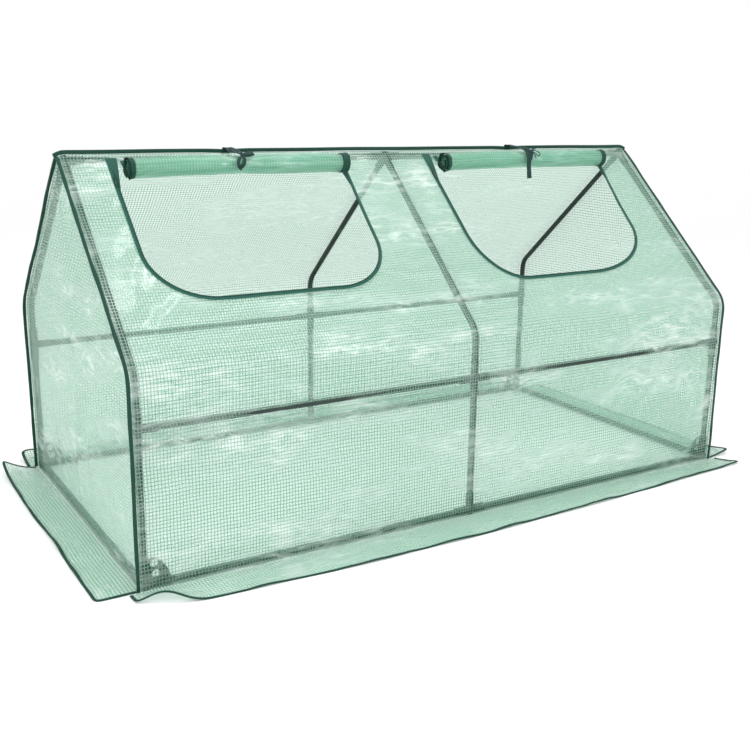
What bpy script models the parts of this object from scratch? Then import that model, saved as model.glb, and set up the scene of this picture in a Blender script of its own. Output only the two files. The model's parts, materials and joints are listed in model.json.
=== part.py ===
"""A mini greenhouse: a push-fit tube frame under a sewn film cover with two roll-up doors.

Metres, +Z up. +X runs along the ridge, the front faces -Y, and the floor is Z = 0 under the middle.
"""

import math

import bmesh
import bpy
from mathutils import Matrix, Vector

# Frame, centre line to centre line
LENGTH = 1.77  # left hoop to right hoop
DEPTH = 0.90  # front legs to back legs
EAVE_RISE = 0.480  # base rail to the corner of a hoop at the eave
RIDGE_RISE = 0.892  # base rail to ridge tube
MID_RISE = 0.3585  # base rail to mid rail
EAVE_RADIUS = 0.060  # bend of a hoop tube
EAVE_STEPS = 8

# Tube and push-fit joints
TUBE_OD = 0.016
TUBE_WALL = 0.0006
SOCKET_WALL = 0.0019
SOCKET_LENGTH = 0.045  # joint centre to socket mouth
CORNER_SOCKET_LENGTH = 0.062  # the long sockets of a base corner
HUB_STOP = 0.0125  # joint centre to the floor of a bore
HUB_SHARE = 0.92  # how far a socket runs past the joint centre, in socket radii
FOOT = 0.0007  # foot pad below the base sockets
SIDES = 12
GUSSET_THICK = 0.004
GUSSET_HOLE_RADIUS = 0.0098
GUSSET_HOLES = ((0.0130, 0.0360), (0.0165, 0.0110))  # centres, from the leg's socket and above the rail's
GUSSET_BOW = (0.76, 0.93)  # control point of its curved edge, in socket lengths
GUSSET_STEPS = 6

# Clearances
FIT_GAP = 0.0003  # radial play of a tube in its socket, and between layers of cloth
COVER_GAP = 0.0007  # joint to the inside of the cover
EDGE_GAP = 0.0005  # sewn edge to sewn edge

# Cover
FILM = 0.0009  # thickness of the reinforced film
WALL_FOOT = 0.0015  # lower edge of the walls above the floor
BINDING_WIDTH = 0.012
BINDING_THICK = 0.004
RIDGE_BINDING_HEIGHT = 0.010
RIDGE_BINDING_THICK = 0.003
SKIRT_WIDTH = 0.105
SKIRT_OFFSET = 0.0029  # outer face of the cover to the fold of a skirt
SKIRT_OVERHANG = 0.027  # front and back skirts past the end panels

# Windows, measured down the slope from the ridge
WINDOW_WIDTH = 0.62
WINDOW_TOP = 0.045
WINDOW_STRAIGHT_END = 0.300
WINDOW_BOTTOM = 0.456
WINDOW_CORNER_WIDTH = 0.170
WINDOW_SPLAY = 0.010  # each window nearer its end panel than the middle of its bay
WINDOW_SHIFT = -0.022  # and both moved to the left
CORNER_STEPS = 7
CUT_DEPTH = 0.005  # of the cutter that opens a window

# Zip round each window
TAPE_THICK = 0.0009
TAPE_IN = 0.002  # part of the tape inside the window
TAPE_OUT = 0.008  # part of the tape on the panel
SLIDER_SIZE = (0.009, 0.014, 0.004)
SLIDER_NOSE = 0.006  # width of its upper end
SLIDER_START = 0.078  # down the slope, window open
PULL_SIZE = (0.006, 0.022, 0.0016)
PULL_RISE = 0.001  # middle of the pull above the middle of the slider

# Rolled doors and their ties
ROLL_RADIUS = 0.0275
ROLL_LENGTH = 0.60
ROLL_DOWN = 0.060  # roll centre down the slope from the ridge
ROLL_PITCH = 0.0048  # from one turn of cloth to the next
ROLL_TURNS = 3.5
ROLL_STEPS = 14  # per turn
DOOR_EDGE = 0.016  # top edge of the door cloth down the slope
TIE_THICK = 0.0012
TIE_WIDTHS = {"left": 0.012, "right": 0.018}
TIE_TAIL = 0.026
TIE_LIFT = 0.0012  # tie above the ridge binding and above the roll
TIE_START = 0.005  # hinge line to the first fibre of the tie
TIE_STEPS = 5

# Worked out from the sizes above
TUBE_RADIUS = TUBE_OD / 2
BORE_RADIUS = (TUBE_RADIUS + FIT_GAP) / math.cos(math.pi / SIDES)
SOCKET_RADIUS = BORE_RADIUS + SOCKET_WALL
BASE_Z = SOCKET_RADIUS + FOOT
MID_Z = BASE_Z + MID_RISE
EAVE_Z = BASE_Z + EAVE_RISE
RIDGE_Z = BASE_Z + RIDGE_RISE
SLOPE = math.atan2(RIDGE_RISE - EAVE_RISE, DEPTH / 2)
HUB = SOCKET_RADIUS * min(HUB_SHARE, math.tan(SLOPE))  # a ridge socket's end stays under the other slope
DOWN = Vector((0, -math.cos(SLOPE), -math.sin(SLOPE)))
OUT = Vector((0, -math.sin(SLOPE), math.cos(SLOPE)))
TUBE_START = HUB_STOP + EDGE_GAP
COVER_IN = SOCKET_RADIUS + COVER_GAP
COVER_MID = COVER_IN + FILM / 2
COVER_OUT = COVER_IN + FILM
END_X = LENGTH / 2 + COVER_OUT
APEX_OUT = COVER_OUT / math.cos(SLOPE)
SHEET_GAP = FILM  # half the slit between the two roof panels
TAPE_LEVEL = COVER_OUT + FIT_GAP + TAPE_THICK / 2
DOOR_LEVEL = TAPE_LEVEL + TAPE_THICK / 2 + FIT_GAP + FILM / 2
ROLL_LEVEL = DOOR_LEVEL + FILM / 2 + EDGE_GAP + ROLL_RADIUS
SLIDER_LEVEL = TAPE_LEVEL + TAPE_THICK / 2 + FIT_GAP + SLIDER_SIZE[2] / 2

FINISHES = {
    "painted tube": ((0.020, 0.045, 0.036), 0.38, 0.35),
    "moulded joint": ((0.012, 0.050, 0.036), 0.50, 0.0),
    "reinforced film": ((0.560, 0.800, 0.700), 0.22, 0.0),
    "binding tape": ((0.010, 0.120, 0.075), 0.70, 0.0),
    "zip": ((0.015, 0.090, 0.060), 0.45, 0.0),
}


# ---------------------------------------------------------------- building blocks
def clear_scene():
    for item in list(bpy.data.objects):
        bpy.data.objects.remove(item, do_unlink=True)


def finish_material(finish):
    """The finish's material, made the first time it is asked for."""
    material = bpy.data.materials.get(finish)
    if material is None:
        colour, roughness, metallic = FINISHES[finish]
        material = bpy.data.materials.new(finish)
        material.use_nodes = True
        shader = material.node_tree.nodes["Principled BSDF"]
        shader.inputs["Base Color"].default_value = (*colour, 1.0)
        shader.inputs["Roughness"].default_value = roughness
        shader.inputs["Metallic"].default_value = metallic
    return material


def add_object(name, data, finish, location=(0, 0, 0), rotation=(0, 0, 0), parent=None):
    item = bpy.data.objects.new(name, data)
    bpy.context.scene.collection.objects.link(item)
    item.rotation_euler = rotation
    item.location = location
    if parent is not None:
        item.parent = parent
        item.location = Vector(location) - parent.location
    data.materials.append(finish_material(finish))
    return item


def mesh_from(name, bm):
    bmesh.ops.recalc_face_normals(bm, faces=bm.faces)
    mesh = bpy.data.meshes.new(name)
    bm.to_mesh(mesh)
    bm.free()
    return mesh


def thicken(item, thickness, offset=0.0):
    """Give a surface its thickness, centred on it unless an offset of -1 or 1 says otherwise."""
    solid = item.modifiers.new("thickness", "SOLIDIFY")
    solid.thickness = thickness
    solid.offset = offset
    solid.use_even_offset = True


def carry_out(target, tool, operation):
    """Union or cut the target with the tool, keep the result and drop the tool."""
    modifier = target.modifiers.new(operation.lower(), "BOOLEAN")
    modifier.operation = operation
    modifier.object = tool
    bpy.context.view_layer.update()
    depsgraph = bpy.context.evaluated_depsgraph_get()
    result = bpy.data.meshes.new_from_object(target.evaluated_get(depsgraph))
    target.modifiers.clear()
    before = target.data
    target.data = result
    bpy.data.meshes.remove(before)
    bpy.data.objects.remove(tool, do_unlink=True)


def rod(name, centre, direction, start, end, radius, finish):
    """A capped cylinder along a direction, from one distance from the centre to another."""
    direction = Vector(direction)
    turn = Vector((0, 0, 1)).rotation_difference(direction).to_matrix().to_4x4()
    middle = Matrix.Translation(direction * (start + end) / 2)
    bm = bmesh.new()
    bmesh.ops.create_cone(
        bm,
        cap_ends=True,
        segments=SIDES,
        radius1=radius,
        radius2=radius,
        depth=end - start,
        matrix=middle @ turn,
    )
    return add_object(name, mesh_from(name, bm), finish, location=centre)


def plate(name, outline, thickness, finish, **place):
    """A flat plate whose outline lies in the object's own XY plane, centred on it."""
    bm = bmesh.new()
    face = bm.faces.new([bm.verts.new((x, y, -thickness / 2)) for x, y in outline])
    grown = bmesh.ops.extrude_face_region(bm, geom=[face])
    top = [part for part in grown["geom"] if isinstance(part, bmesh.types.BMVert)]
    bmesh.ops.translate(bm, verts=top, vec=(0, 0, thickness))
    return add_object(name, mesh_from(name, bm), finish, **place)


def strip(name, path, left, right, thickness, finish, **place):
    """Cloth or tape that follows a path in the YZ plane and runs from left to right along X."""
    bm = bmesh.new()
    line = [bm.verts.new((left, y, z)) for y, z in path]
    edges = [bm.edges.new(pair) for pair in zip(line, line[1:])]
    grown = bmesh.ops.extrude_edge_only(bm, edges=edges)
    moved = [part for part in grown["geom"] if isinstance(part, bmesh.types.BMVert)]
    bmesh.ops.translate(bm, verts=moved, vec=(right - left, 0, 0))
    item = add_object(name, mesh_from(name, bm), finish, **place)
    thicken(item, thickness)
    return item


def tube(name, points):
    """A hollow tube along its points, open at both ends."""
    curve = bpy.data.curves.new(name, "CURVE")
    curve.dimensions = "3D"
    curve.bevel_depth = TUBE_RADIUS
    curve.bevel_resolution = (SIDES - 4) // 2
    spline = curve.splines.new("POLY")
    spline.points.add(len(points) - 1)
    for point, place in zip(spline.points, points):
        point.co = (*place, 1.0)
    item = add_object(name, curve, "painted tube")
    thicken(item, TUBE_WALL, offset=-1.0)
    return item


def push_joint(name, centre, sockets, foot=False, gusset=0):
    """A moulded joint: sockets given as (direction, length) round one hub, bored for the tubes.

    A foot lets the leg's socket reach the floor. A gusset of 1 or -1 fills the corner between
    the leg and the rail that runs towards +X or -X.
    """
    lengths = dict(sockets)
    body = None
    for number, (direction, length) in enumerate(sockets):
        opposite = tuple(-part for part in direction)
        if opposite in dict(sockets[:number]):
            continue
        below = SOCKET_RADIUS + FOOT if foot and direction == UP else HUB
        back = lengths.get(opposite, below)
        arm = rod(f"{name}_arm{number}", centre, direction, -back, length, SOCKET_RADIUS, "moulded joint")
        if body is None:
            body = arm
        else:
            carry_out(body, arm, "UNION")
    if gusset:
        web = plate(
            f"{name}_web",
            [(gusset * x, z) for x, z in gusset_outline()],
            GUSSET_THICK,
            "moulded joint",
            location=centre,
            rotation=(math.pi / 2, 0, 0),
        )
        carry_out(body, web, "UNION")
        for number, (x, z) in enumerate(GUSSET_HOLES):
            away = Vector((gusset * (SOCKET_RADIUS + x), 0, SOCKET_RADIUS + z))
            hole = rod(
                f"{name}_hole{number}",
                Vector(centre) + away,
                BACKWARD,
                -GUSSET_THICK,
                GUSSET_THICK,
                GUSSET_HOLE_RADIUS,
                "moulded joint",
            )
            carry_out(body, hole, "DIFFERENCE")
    for number, (direction, length) in enumerate(sockets):
        past = length + SOCKET_RADIUS
        bore = rod(f"{name}_bore{number}", centre, direction, HUB_STOP, past, BORE_RADIUS, "moulded joint")
        carry_out(body, bore, "DIFFERENCE")
    body.name = name
    body.data.name = name
    body.data.shade_smooth()
    body.data.set_sharp_from_angle(angle=math.radians(40))
    return body


def gusset_outline():
    """The curved web of a base corner: out along the rail, back over a bowed edge, down the leg."""
    reach = CORNER_SOCKET_LENGTH - FOOT
    shoulder = Vector((SOCKET_RADIUS + GUSSET_HOLES[0][0] - GUSSET_HOLE_RADIUS / 2, reach))
    toe = Vector((reach, SOCKET_RADIUS))
    bow = Vector(GUSSET_BOW) * reach
    edge = []
    for step in range(GUSSET_STEPS + 1):
        t = step / GUSSET_STEPS
        edge.append(shoulder * (1 - t) ** 2 + bow * 2 * t * (1 - t) + toe * t**2)
    inner = SOCKET_RADIUS / 2
    return [(inner, inner), (reach, inner), *((point.x, point.y) for point in reversed(edge)), (inner, reach)]


# ---------------------------------------------------------------- shared geometry
def eave_arc(offset, side):
    """The bend over the eave, a distance outside the tube's centre line, from wall to roof."""
    tangent = EAVE_RADIUS * math.tan((math.pi / 2 - SLOPE) / 2)
    centre_y, centre_z = DEPTH / 2 - EAVE_RADIUS, EAVE_Z - tangent
    radius = EAVE_RADIUS + offset
    points = []
    for step in range(EAVE_STEPS + 1):
        angle = (math.pi / 2 - SLOPE) * step / EAVE_STEPS
        points.append((side * (centre_y + radius * math.cos(angle)), centre_z + radius * math.sin(angle)))
    return points


def half_profile(offset, side, foot, slit=0.0):
    """The cover's path up one wall and one roof slope to the ridge, or to its half slit."""
    apex = RIDGE_Z + offset / math.cos(SLOPE) - slit * math.tan(SLOPE)
    return [(side * (DEPTH / 2 + offset), foot), *eave_arc(offset, side), (side * slit, apex)]


def slope_point(x, down, out):
    """A point on the front roof: along the ridge, down from it, and out from the tubes' centre line."""
    return Vector((x, 0, RIDGE_Z)) + DOWN * down + OUT * out


def window_centre(side):
    return {"left": -1, "right": 1}[side] * (LENGTH / 4 + WINDOW_SPLAY) + WINDOW_SHIFT


def window_outline(grow=0.0):
    """Down the left side, round the bottom and up the right side, grown outwards in the slope's plane."""
    half = WINDOW_WIDTH / 2
    drop = WINDOW_BOTTOM - WINDOW_STRAIGHT_END
    flat = half - WINDOW_CORNER_WIDTH
    points = []
    for side in (-1, 1):
        quarter = []
        for step in range(CORNER_STEPS + 1):
            angle = math.pi / 2 * step / CORNER_STEPS
            x = flat + (WINDOW_CORNER_WIDTH + grow) * math.cos(angle)
            quarter.append((side * x, -WINDOW_STRAIGHT_END - (drop + grow) * math.sin(angle)))
        top = (side * (half + grow), -WINDOW_TOP)
        points += [top, *quarter] if side < 0 else [*reversed(quarter), top]
    return points


# ---------------------------------------------------------------- frame
LEFT, RIGHT = (-1, 0, 0), (1, 0, 0)
FORWARD, BACKWARD = (0, -1, 0), (0, 1, 0)
UP, BELOW = (0, 0, 1), (0, 0, -1)
FRONT_SLOPE = tuple(DOWN)
BACK_SLOPE = (0, -DOWN.y, DOWN.z)
STATIONS = {"left": -1, "middle": 0, "right": 1}
FACES = {"front": -1, "back": 1}


def make_hoops():
    """Each hoop is a lower leg and a bent upper tube on either side of the ridge."""
    for station, place in STATIONS.items():
        x = place * LENGTH / 2
        for face, side in FACES.items():
            y = side * DEPTH / 2
            tube(
                f"{face}_{station}_lower_leg",
                [(x, y, BASE_Z + TUBE_START), (x, y, MID_Z - TUBE_START)],
            )
            slope = Vector((0, side * math.cos(SLOPE), -math.sin(SLOPE)))
            top = Vector((x, 0, RIDGE_Z)) + slope * TUBE_START
            bend = [(x, y_bend, z_bend) for y_bend, z_bend in eave_arc(0.0, side)]
            tube(f"{face}_{station}_bent_tube", [(x, y, MID_Z + TUBE_START), *bend, tuple(top)])


def make_rails():
    """The rails along X in each bay, and the two side rails along Y on the floor."""
    start, end = TUBE_START, LENGTH / 2 - TUBE_START
    for bay, side in (("left", -1), ("right", 1)):
        for level, height in (("base", BASE_Z), ("mid", MID_Z)):
            for face, y in FACES.items():
                ends = [(side * x, y * DEPTH / 2, height) for x in (start, end)]
                tube(f"{face}_{level}_rail_{bay}", ends)
        tube(f"ridge_tube_{bay}", [(side * x, 0, RIDGE_Z) for x in (start, end)])
        across = DEPTH / 2 - TUBE_START
        tube(
            f"{bay}_side_rail",
            [(side * LENGTH / 2, y, BASE_Z) for y in (-across, across)],
        )


def make_joints():
    """Push-fit joints at the floor, at the mid rails and along the ridge."""
    inward = {"left": [RIGHT], "middle": [LEFT, RIGHT], "right": [LEFT]}
    for station, place in STATIONS.items():
        x = place * LENGTH / 2
        rails = [(direction, SOCKET_LENGTH) for direction in inward[station]]
        for face, side in FACES.items():
            y = side * DEPTH / 2
            across = BACKWARD if face == "front" else FORWARD
            if place:
                long_rails = [(direction, CORNER_SOCKET_LENGTH) for direction in inward[station]]
                sockets = [(UP, CORNER_SOCKET_LENGTH), *long_rails, (across, SOCKET_LENGTH)]
                push_joint(f"{face}_{station}_base_corner", (x, y, BASE_Z), sockets, foot=True, gusset=-place)
            else:
                push_joint(f"{face}_base_tee", (x, y, BASE_Z), [(UP, SOCKET_LENGTH), *rails], foot=True)
            uprights = [(UP, SOCKET_LENGTH), (BELOW, SOCKET_LENGTH)]
            push_joint(f"{face}_{station}_mid_joint", (x, y, MID_Z), [*uprights, *rails])
        slopes = [(FRONT_SLOPE, SOCKET_LENGTH), (BACK_SLOPE, SOCKET_LENGTH)]
        push_joint(f"ridge_{station}_joint", (x, 0, RIDGE_Z), [*slopes, *rails])


# ---------------------------------------------------------------- cover
def make_panels():
    """The bent front and back panels and the two end panels."""
    for face, side in FACES.items():
        path = half_profile(COVER_MID, side, WALL_FOOT, slit=SHEET_GAP)
        panel = strip(f"{face}_panel", path, -END_X, END_X, FILM, "reinforced film")
        if face == "front":
            for window in TIE_WIDTHS:
                middle = slope_point(window_centre(window), 0, COVER_MID)
                cutter = plate(
                    f"{window}_window_cutter",
                    window_outline(),
                    CUT_DEPTH,
                    "reinforced film",
                    location=middle,
                    rotation=(SLOPE, 0, 0),
                )
                carry_out(panel, cutter, "DIFFERENCE")
    inset = COVER_IN - EDGE_GAP
    front = half_profile(inset, -1, WALL_FOOT)
    back = half_profile(inset, 1, WALL_FOOT)
    for name, side in (("left_end_panel", -1), ("right_end_panel", 1)):
        plate(
            name,
            [*front, *reversed(back[:-1])],
            FILM,
            "reinforced film",
            location=(side * (LENGTH / 2 + COVER_MID), 0, 0),
            rotation=Matrix(((0, 0, 1), (1, 0, 0), (0, 1, 0))).to_euler(),
        )


def make_bindings():
    """Folded tape on the two end seams and along the ridge seam."""
    front = half_profile(COVER_MID, -1, WALL_FOOT)
    back = half_profile(COVER_MID, 1, WALL_FOOT)
    inner, outer = END_X + EDGE_GAP, END_X + EDGE_GAP + BINDING_WIDTH
    for name, ends in (("left_seam_binding", (-outer, -inner)), ("right_seam_binding", (inner, outer))):
        strip(name, [*front, *reversed(back[:-1])], *ends, BINDING_THICK, "binding tape")
    low = RIDGE_Z + APEX_OUT + EDGE_GAP
    path = [(0, low), (0, low + RIDGE_BINDING_HEIGHT)]
    strip("ridge_binding", path, -END_X, END_X, RIDGE_BINDING_THICK, "binding tape")


def make_skirts():
    """Four flaps on the floor, each turning about its fold at the foot of a wall."""
    long_fold, short_fold = DEPTH / 2 + COVER_OUT + SKIRT_OFFSET, END_X + SKIRT_OFFSET / 2
    long_half = END_X + SKIRT_OVERHANG
    short_half = DEPTH / 2 + COVER_MID - BINDING_THICK / 2 - EDGE_GAP
    sides = (
        ("front_skirt", long_half, 0, (0, -long_fold)),
        ("right_skirt", short_half, 1, (short_fold, 0)),
        ("back_skirt", long_half, 2, (0, long_fold)),
        ("left_skirt", short_half, 3, (-short_fold, 0)),
    )
    for name, half, quarter_turns, (x, y) in sides:
        strip(
            name,
            [(0, 0), (-SKIRT_WIDTH, 0)],
            -half,
            half,
            FILM,
            "reinforced film",
            location=(x, y, FILM / 2),
            rotation=(0, 0, quarter_turns * math.pi / 2),
        )


# ---------------------------------------------------------------- doors
def roll_path():
    """The wound cloth: from under the roll round its front and inwards, turn inside turn."""
    points = []
    for step in range(round(ROLL_TURNS * ROLL_STEPS) + 1):
        turn = step / ROLL_STEPS
        radius = ROLL_RADIUS - FILM / 2 - ROLL_PITCH * turn
        angle = SLOPE - math.pi / 2 - 2 * math.pi * turn
        points.append((radius * math.cos(angle), radius * math.sin(angle)))
    return points


def tie_path(hinge, roll):
    """From the ridge over the roll to its outermost line, then a tail parallel to the slope."""
    radius = ROLL_RADIUS + TIE_LIFT + TIE_THICK / 2
    reach = hinge - roll
    distance = math.hypot(reach.y, reach.z)
    touch = math.atan2(reach.z, reach.y) + math.acos(radius / distance)
    leave = math.pi / 2 + SLOPE
    path = []
    for step in range(TIE_STEPS + 1):
        angle = touch + (leave - touch) * step / TIE_STEPS
        path.append((roll.y + radius * math.cos(angle), roll.z + radius * math.sin(angle)))
    along = Vector((0, path[0][0] - hinge.y, path[0][1] - hinge.z)).normalized()
    first = hinge + along * TIE_START
    last = (path[-1][0] + DOWN.y * TIE_TAIL, path[-1][1] + DOWN.z * TIE_TAIL)
    return [(y - hinge.y, z - hinge.z) for y, z in ((first.y, first.z), *path, last)]


def make_doors():
    """For each window the zip and its slider, the rolled door on its way down, and the tie."""
    for window, tie_width in TIE_WIDTHS.items():
        x = window_centre(window)
        inner, outer = window_outline(-TAPE_IN), window_outline(TAPE_OUT)
        plate(
            f"{window}_zip_tape",
            [*inner, *reversed(outer)],
            TAPE_THICK,
            "zip",
            location=slope_point(x, 0, TAPE_LEVEL),
            rotation=(SLOPE, 0, 0),
        )
        make_slider(window, x - WINDOW_WIDTH / 2 - (TAPE_OUT - TAPE_IN) / 2)
        carriage = bpy.data.objects.new(f"{window}_door_carriage", None)
        carriage.location = slope_point(x, ROLL_DOWN, ROLL_LEVEL)
        bpy.context.scene.collection.objects.link(carriage)
        bpy.context.view_layer.update()
        sheet_drop = ROLL_DOWN - DOOR_EDGE
        strip(
            f"{window}_door_sheet",
            [(sheet_drop, 0), (0, 0)],
            -ROLL_LENGTH / 2,
            ROLL_LENGTH / 2,
            FILM,
            "reinforced film",
            location=slope_point(x, ROLL_DOWN, DOOR_LEVEL),
            rotation=(SLOPE, 0, 0),
            parent=carriage,
        )
        strip(
            f"{window}_door_roll",
            roll_path(),
            -ROLL_LENGTH / 2,
            ROLL_LENGTH / 2,
            FILM,
            "reinforced film",
            location=carriage.location,
            parent=carriage,
        )
        hinge_z = RIDGE_Z + APEX_OUT + EDGE_GAP + RIDGE_BINDING_HEIGHT + TIE_LIFT
        hinge = Vector((x, 0, hinge_z))
        strip(
            f"{window}_roll_tie",
            tie_path(hinge, carriage.location),
            -tie_width / 2,
            tie_width / 2,
            TIE_THICK,
            "binding tape",
            location=hinge,
        )


def make_slider(window, x):
    """A zip slider with its pull, on the straight left side of the tape."""
    place = slope_point(x, SLIDER_START, SLIDER_LEVEL)
    width, height, thick = SLIDER_SIZE
    top = height / 2
    slider = plate(
        f"{window}_zip_slider",
        [(-width / 2, -top), (width / 2, -top), (SLIDER_NOSE / 2, top), (-SLIDER_NOSE / 2, top)],
        thick,
        "zip",
        location=place,
        rotation=(SLOPE, 0, 0),
    )
    width, height, pull_thick = PULL_SIZE
    pull = plate(
        f"{window}_pull",
        [(-width / 2, -height), (width / 2, -height), (width / 2, 0), (-width / 2, 0)],
        pull_thick,
        "zip",
        location=place + OUT * PULL_RISE,
        rotation=(SLOPE, 0, 0),
    )
    carry_out(slider, pull, "UNION")


def main():
    clear_scene()
    make_hoops()
    make_rails()
    make_joints()
    make_panels()
    make_bindings()
    make_skirts()
    make_doors()


main()
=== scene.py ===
"""The looks of a mini greenhouse: film cover, bindings, roll-up doors, ties and the studio round it.

Metres, +Z up. +X runs along the ridge, the front faces -Y, and the floor is Z = 0 under the middle.
"""

import sys  # noqa: E702

import json
import logging
import math
from collections.abc import Sequence
from dataclasses import dataclass, field
from enum import Enum

import bpy
import numpy as np
from mathutils import Matrix, Vector, noise


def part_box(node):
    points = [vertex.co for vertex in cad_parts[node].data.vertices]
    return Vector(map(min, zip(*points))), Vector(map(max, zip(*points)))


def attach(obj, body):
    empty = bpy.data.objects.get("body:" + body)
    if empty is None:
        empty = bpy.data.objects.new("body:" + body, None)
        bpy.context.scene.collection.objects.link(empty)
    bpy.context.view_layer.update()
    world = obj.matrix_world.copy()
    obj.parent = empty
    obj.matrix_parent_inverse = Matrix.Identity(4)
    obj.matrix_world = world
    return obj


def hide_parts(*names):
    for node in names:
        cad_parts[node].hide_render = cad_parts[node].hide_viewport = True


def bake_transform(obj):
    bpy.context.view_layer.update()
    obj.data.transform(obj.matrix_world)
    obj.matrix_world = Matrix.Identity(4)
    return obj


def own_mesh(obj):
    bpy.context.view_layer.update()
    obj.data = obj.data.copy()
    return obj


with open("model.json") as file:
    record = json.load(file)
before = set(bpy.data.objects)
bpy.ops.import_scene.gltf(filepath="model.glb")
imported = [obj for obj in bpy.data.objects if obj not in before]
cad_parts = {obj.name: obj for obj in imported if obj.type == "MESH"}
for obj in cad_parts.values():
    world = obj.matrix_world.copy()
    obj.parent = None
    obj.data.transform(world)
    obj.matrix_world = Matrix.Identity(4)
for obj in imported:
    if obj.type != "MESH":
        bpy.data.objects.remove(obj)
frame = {"nodes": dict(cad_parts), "record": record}

log = logging.getLogger("greenhouse")

Colour = tuple[float, float, float]
Point = tuple[float, float, float]
Pressed = tuple[float, float, float]
Socket = bpy.types.NodeSocket
CLOTH_MAP = "cloth"  # UV map of every sewn piece, in metres of cloth


class Face(Enum):
    """The long faces of the cover, as the sign of Y they look to."""

    FRONT = -1
    BACK = 1


class Side(Enum):
    """The two ends and the two windows, as the sign of X they lie on."""

    LEFT = -1
    RIGHT = 1

    @property
    def label(self) -> str:
        """The word that this side's node names begin with."""
        return self.name.lower()


class Slot(Enum):
    """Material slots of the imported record."""

    TUBE = "tube"
    JOINT = "joint"
    FILM = "film"
    BINDING = "binding"
    ZIP = "zip"


# ------------------------------------------------------------------ shader nodes
class Bench:
    """A material's node tree, with short ways to place nodes and join them."""

    def __init__(self, name: str) -> None:
        """Start an empty material.

        Args:
            name: the material's name.
        """
        self.material = bpy.data.materials.new(name)
        self.material.use_nodes = True
        self.nodes = self.material.node_tree.nodes
        self.links = self.material.node_tree.links
        self.nodes.clear()
        self.output = self.nodes.new("ShaderNodeOutputMaterial")

    def feed(self, socket: Socket, value: object) -> None:
        """Link a socket to another, or set its plain value.

        Args:
            socket: the input to fill.
            value: an output socket, a number, or a colour or vector.
        """
        if isinstance(value, Socket):
            self.links.new(value, socket)
        elif socket.type == "RGBA" and len(value) == 3:
            socket.default_value = (*value, 1.0)
        else:
            socket.default_value = value

    def place(self, kind: str, inputs: dict | None = None, **settings: object) -> bpy.types.Node:
        """Place a node.

        Args:
            kind: the node's type after "ShaderNode".
            inputs: values or sockets for its inputs, by name or number.
            **settings: the node's own settings.

        Returns:
            The node.
        """
        node = self.nodes.new(f"ShaderNode{kind}")
        for key, value in settings.items():
            setattr(node, key, value)
        for key, value in (inputs or {}).items():
            self.feed(node.inputs[key], value)
        return node

    def maths(self, operation: str, *values: object) -> Socket:
        """The result of a Math node on numbers or sockets."""
        return self.place("Math", dict(enumerate(values)), operation=operation).outputs[0]

    def ramped(self, value: object, low: float, high: float, start: float = 0.0, end: float = 1.0) -> Socket:
        """A value moved smoothly from start to end while it goes from low to high."""
        inputs = {"Value": value, "From Min": low, "From Max": high, "To Min": start, "To Max": end}
        return self.place("MapRange", inputs, interpolation_type="SMOOTHSTEP").outputs["Result"]

    def tinted(self, share: object, first: object, second: object) -> Socket:
        """Two colours mixed.

        Args:
            share: how much of the second.
            first: the first colour.
            second: the second colour.

        Returns:
            The mixed colour.
        """
        node = self.place("Mix", data_type="RGBA")
        for socket, value in zip((node.inputs[0], node.inputs[6], node.inputs[7]), (share, first, second)):
            self.feed(socket, value)
        return node.outputs[2]

    def grain(self, place: object, scale: float, detail: float = 2.0, rough: float = 0.5) -> Socket:
        """The value of a noise pattern at a place, about 0 to 1."""
        inputs = {"Vector": place, "Scale": scale, "Detail": detail, "Roughness": rough}
        return self.place("TexNoise", inputs).outputs[0]

    def cloth_place(self) -> Socket:
        """The place on the cloth, in metres."""
        return self.place("UVMap", uv_map=CLOTH_MAP).outputs[0]

    def object_place(self) -> Socket:
        """The place in the object's own space, in metres."""
        return self.place("TexCoord").outputs["Object"]

    def bumped(self, height: object, strength: float, distance: float) -> Socket:
        """A normal bent by a height pattern."""
        return self.place("Bump", {"Height": height, "Strength": strength, "Distance": distance}).outputs[0]

    def vectors(self, operation: str, first: object, second: object) -> Socket:
        """The vector result of a Vector Math node on two places."""
        return self.place("VectorMath", {0: first, 1: second}, operation=operation).outputs["Vector"]

    def finish(self, shader: Socket) -> bpy.types.Material:
        """Join a shader to the output and hand the material over."""
        self.links.new(shader, self.output.inputs["Surface"])
        return self.material


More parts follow.
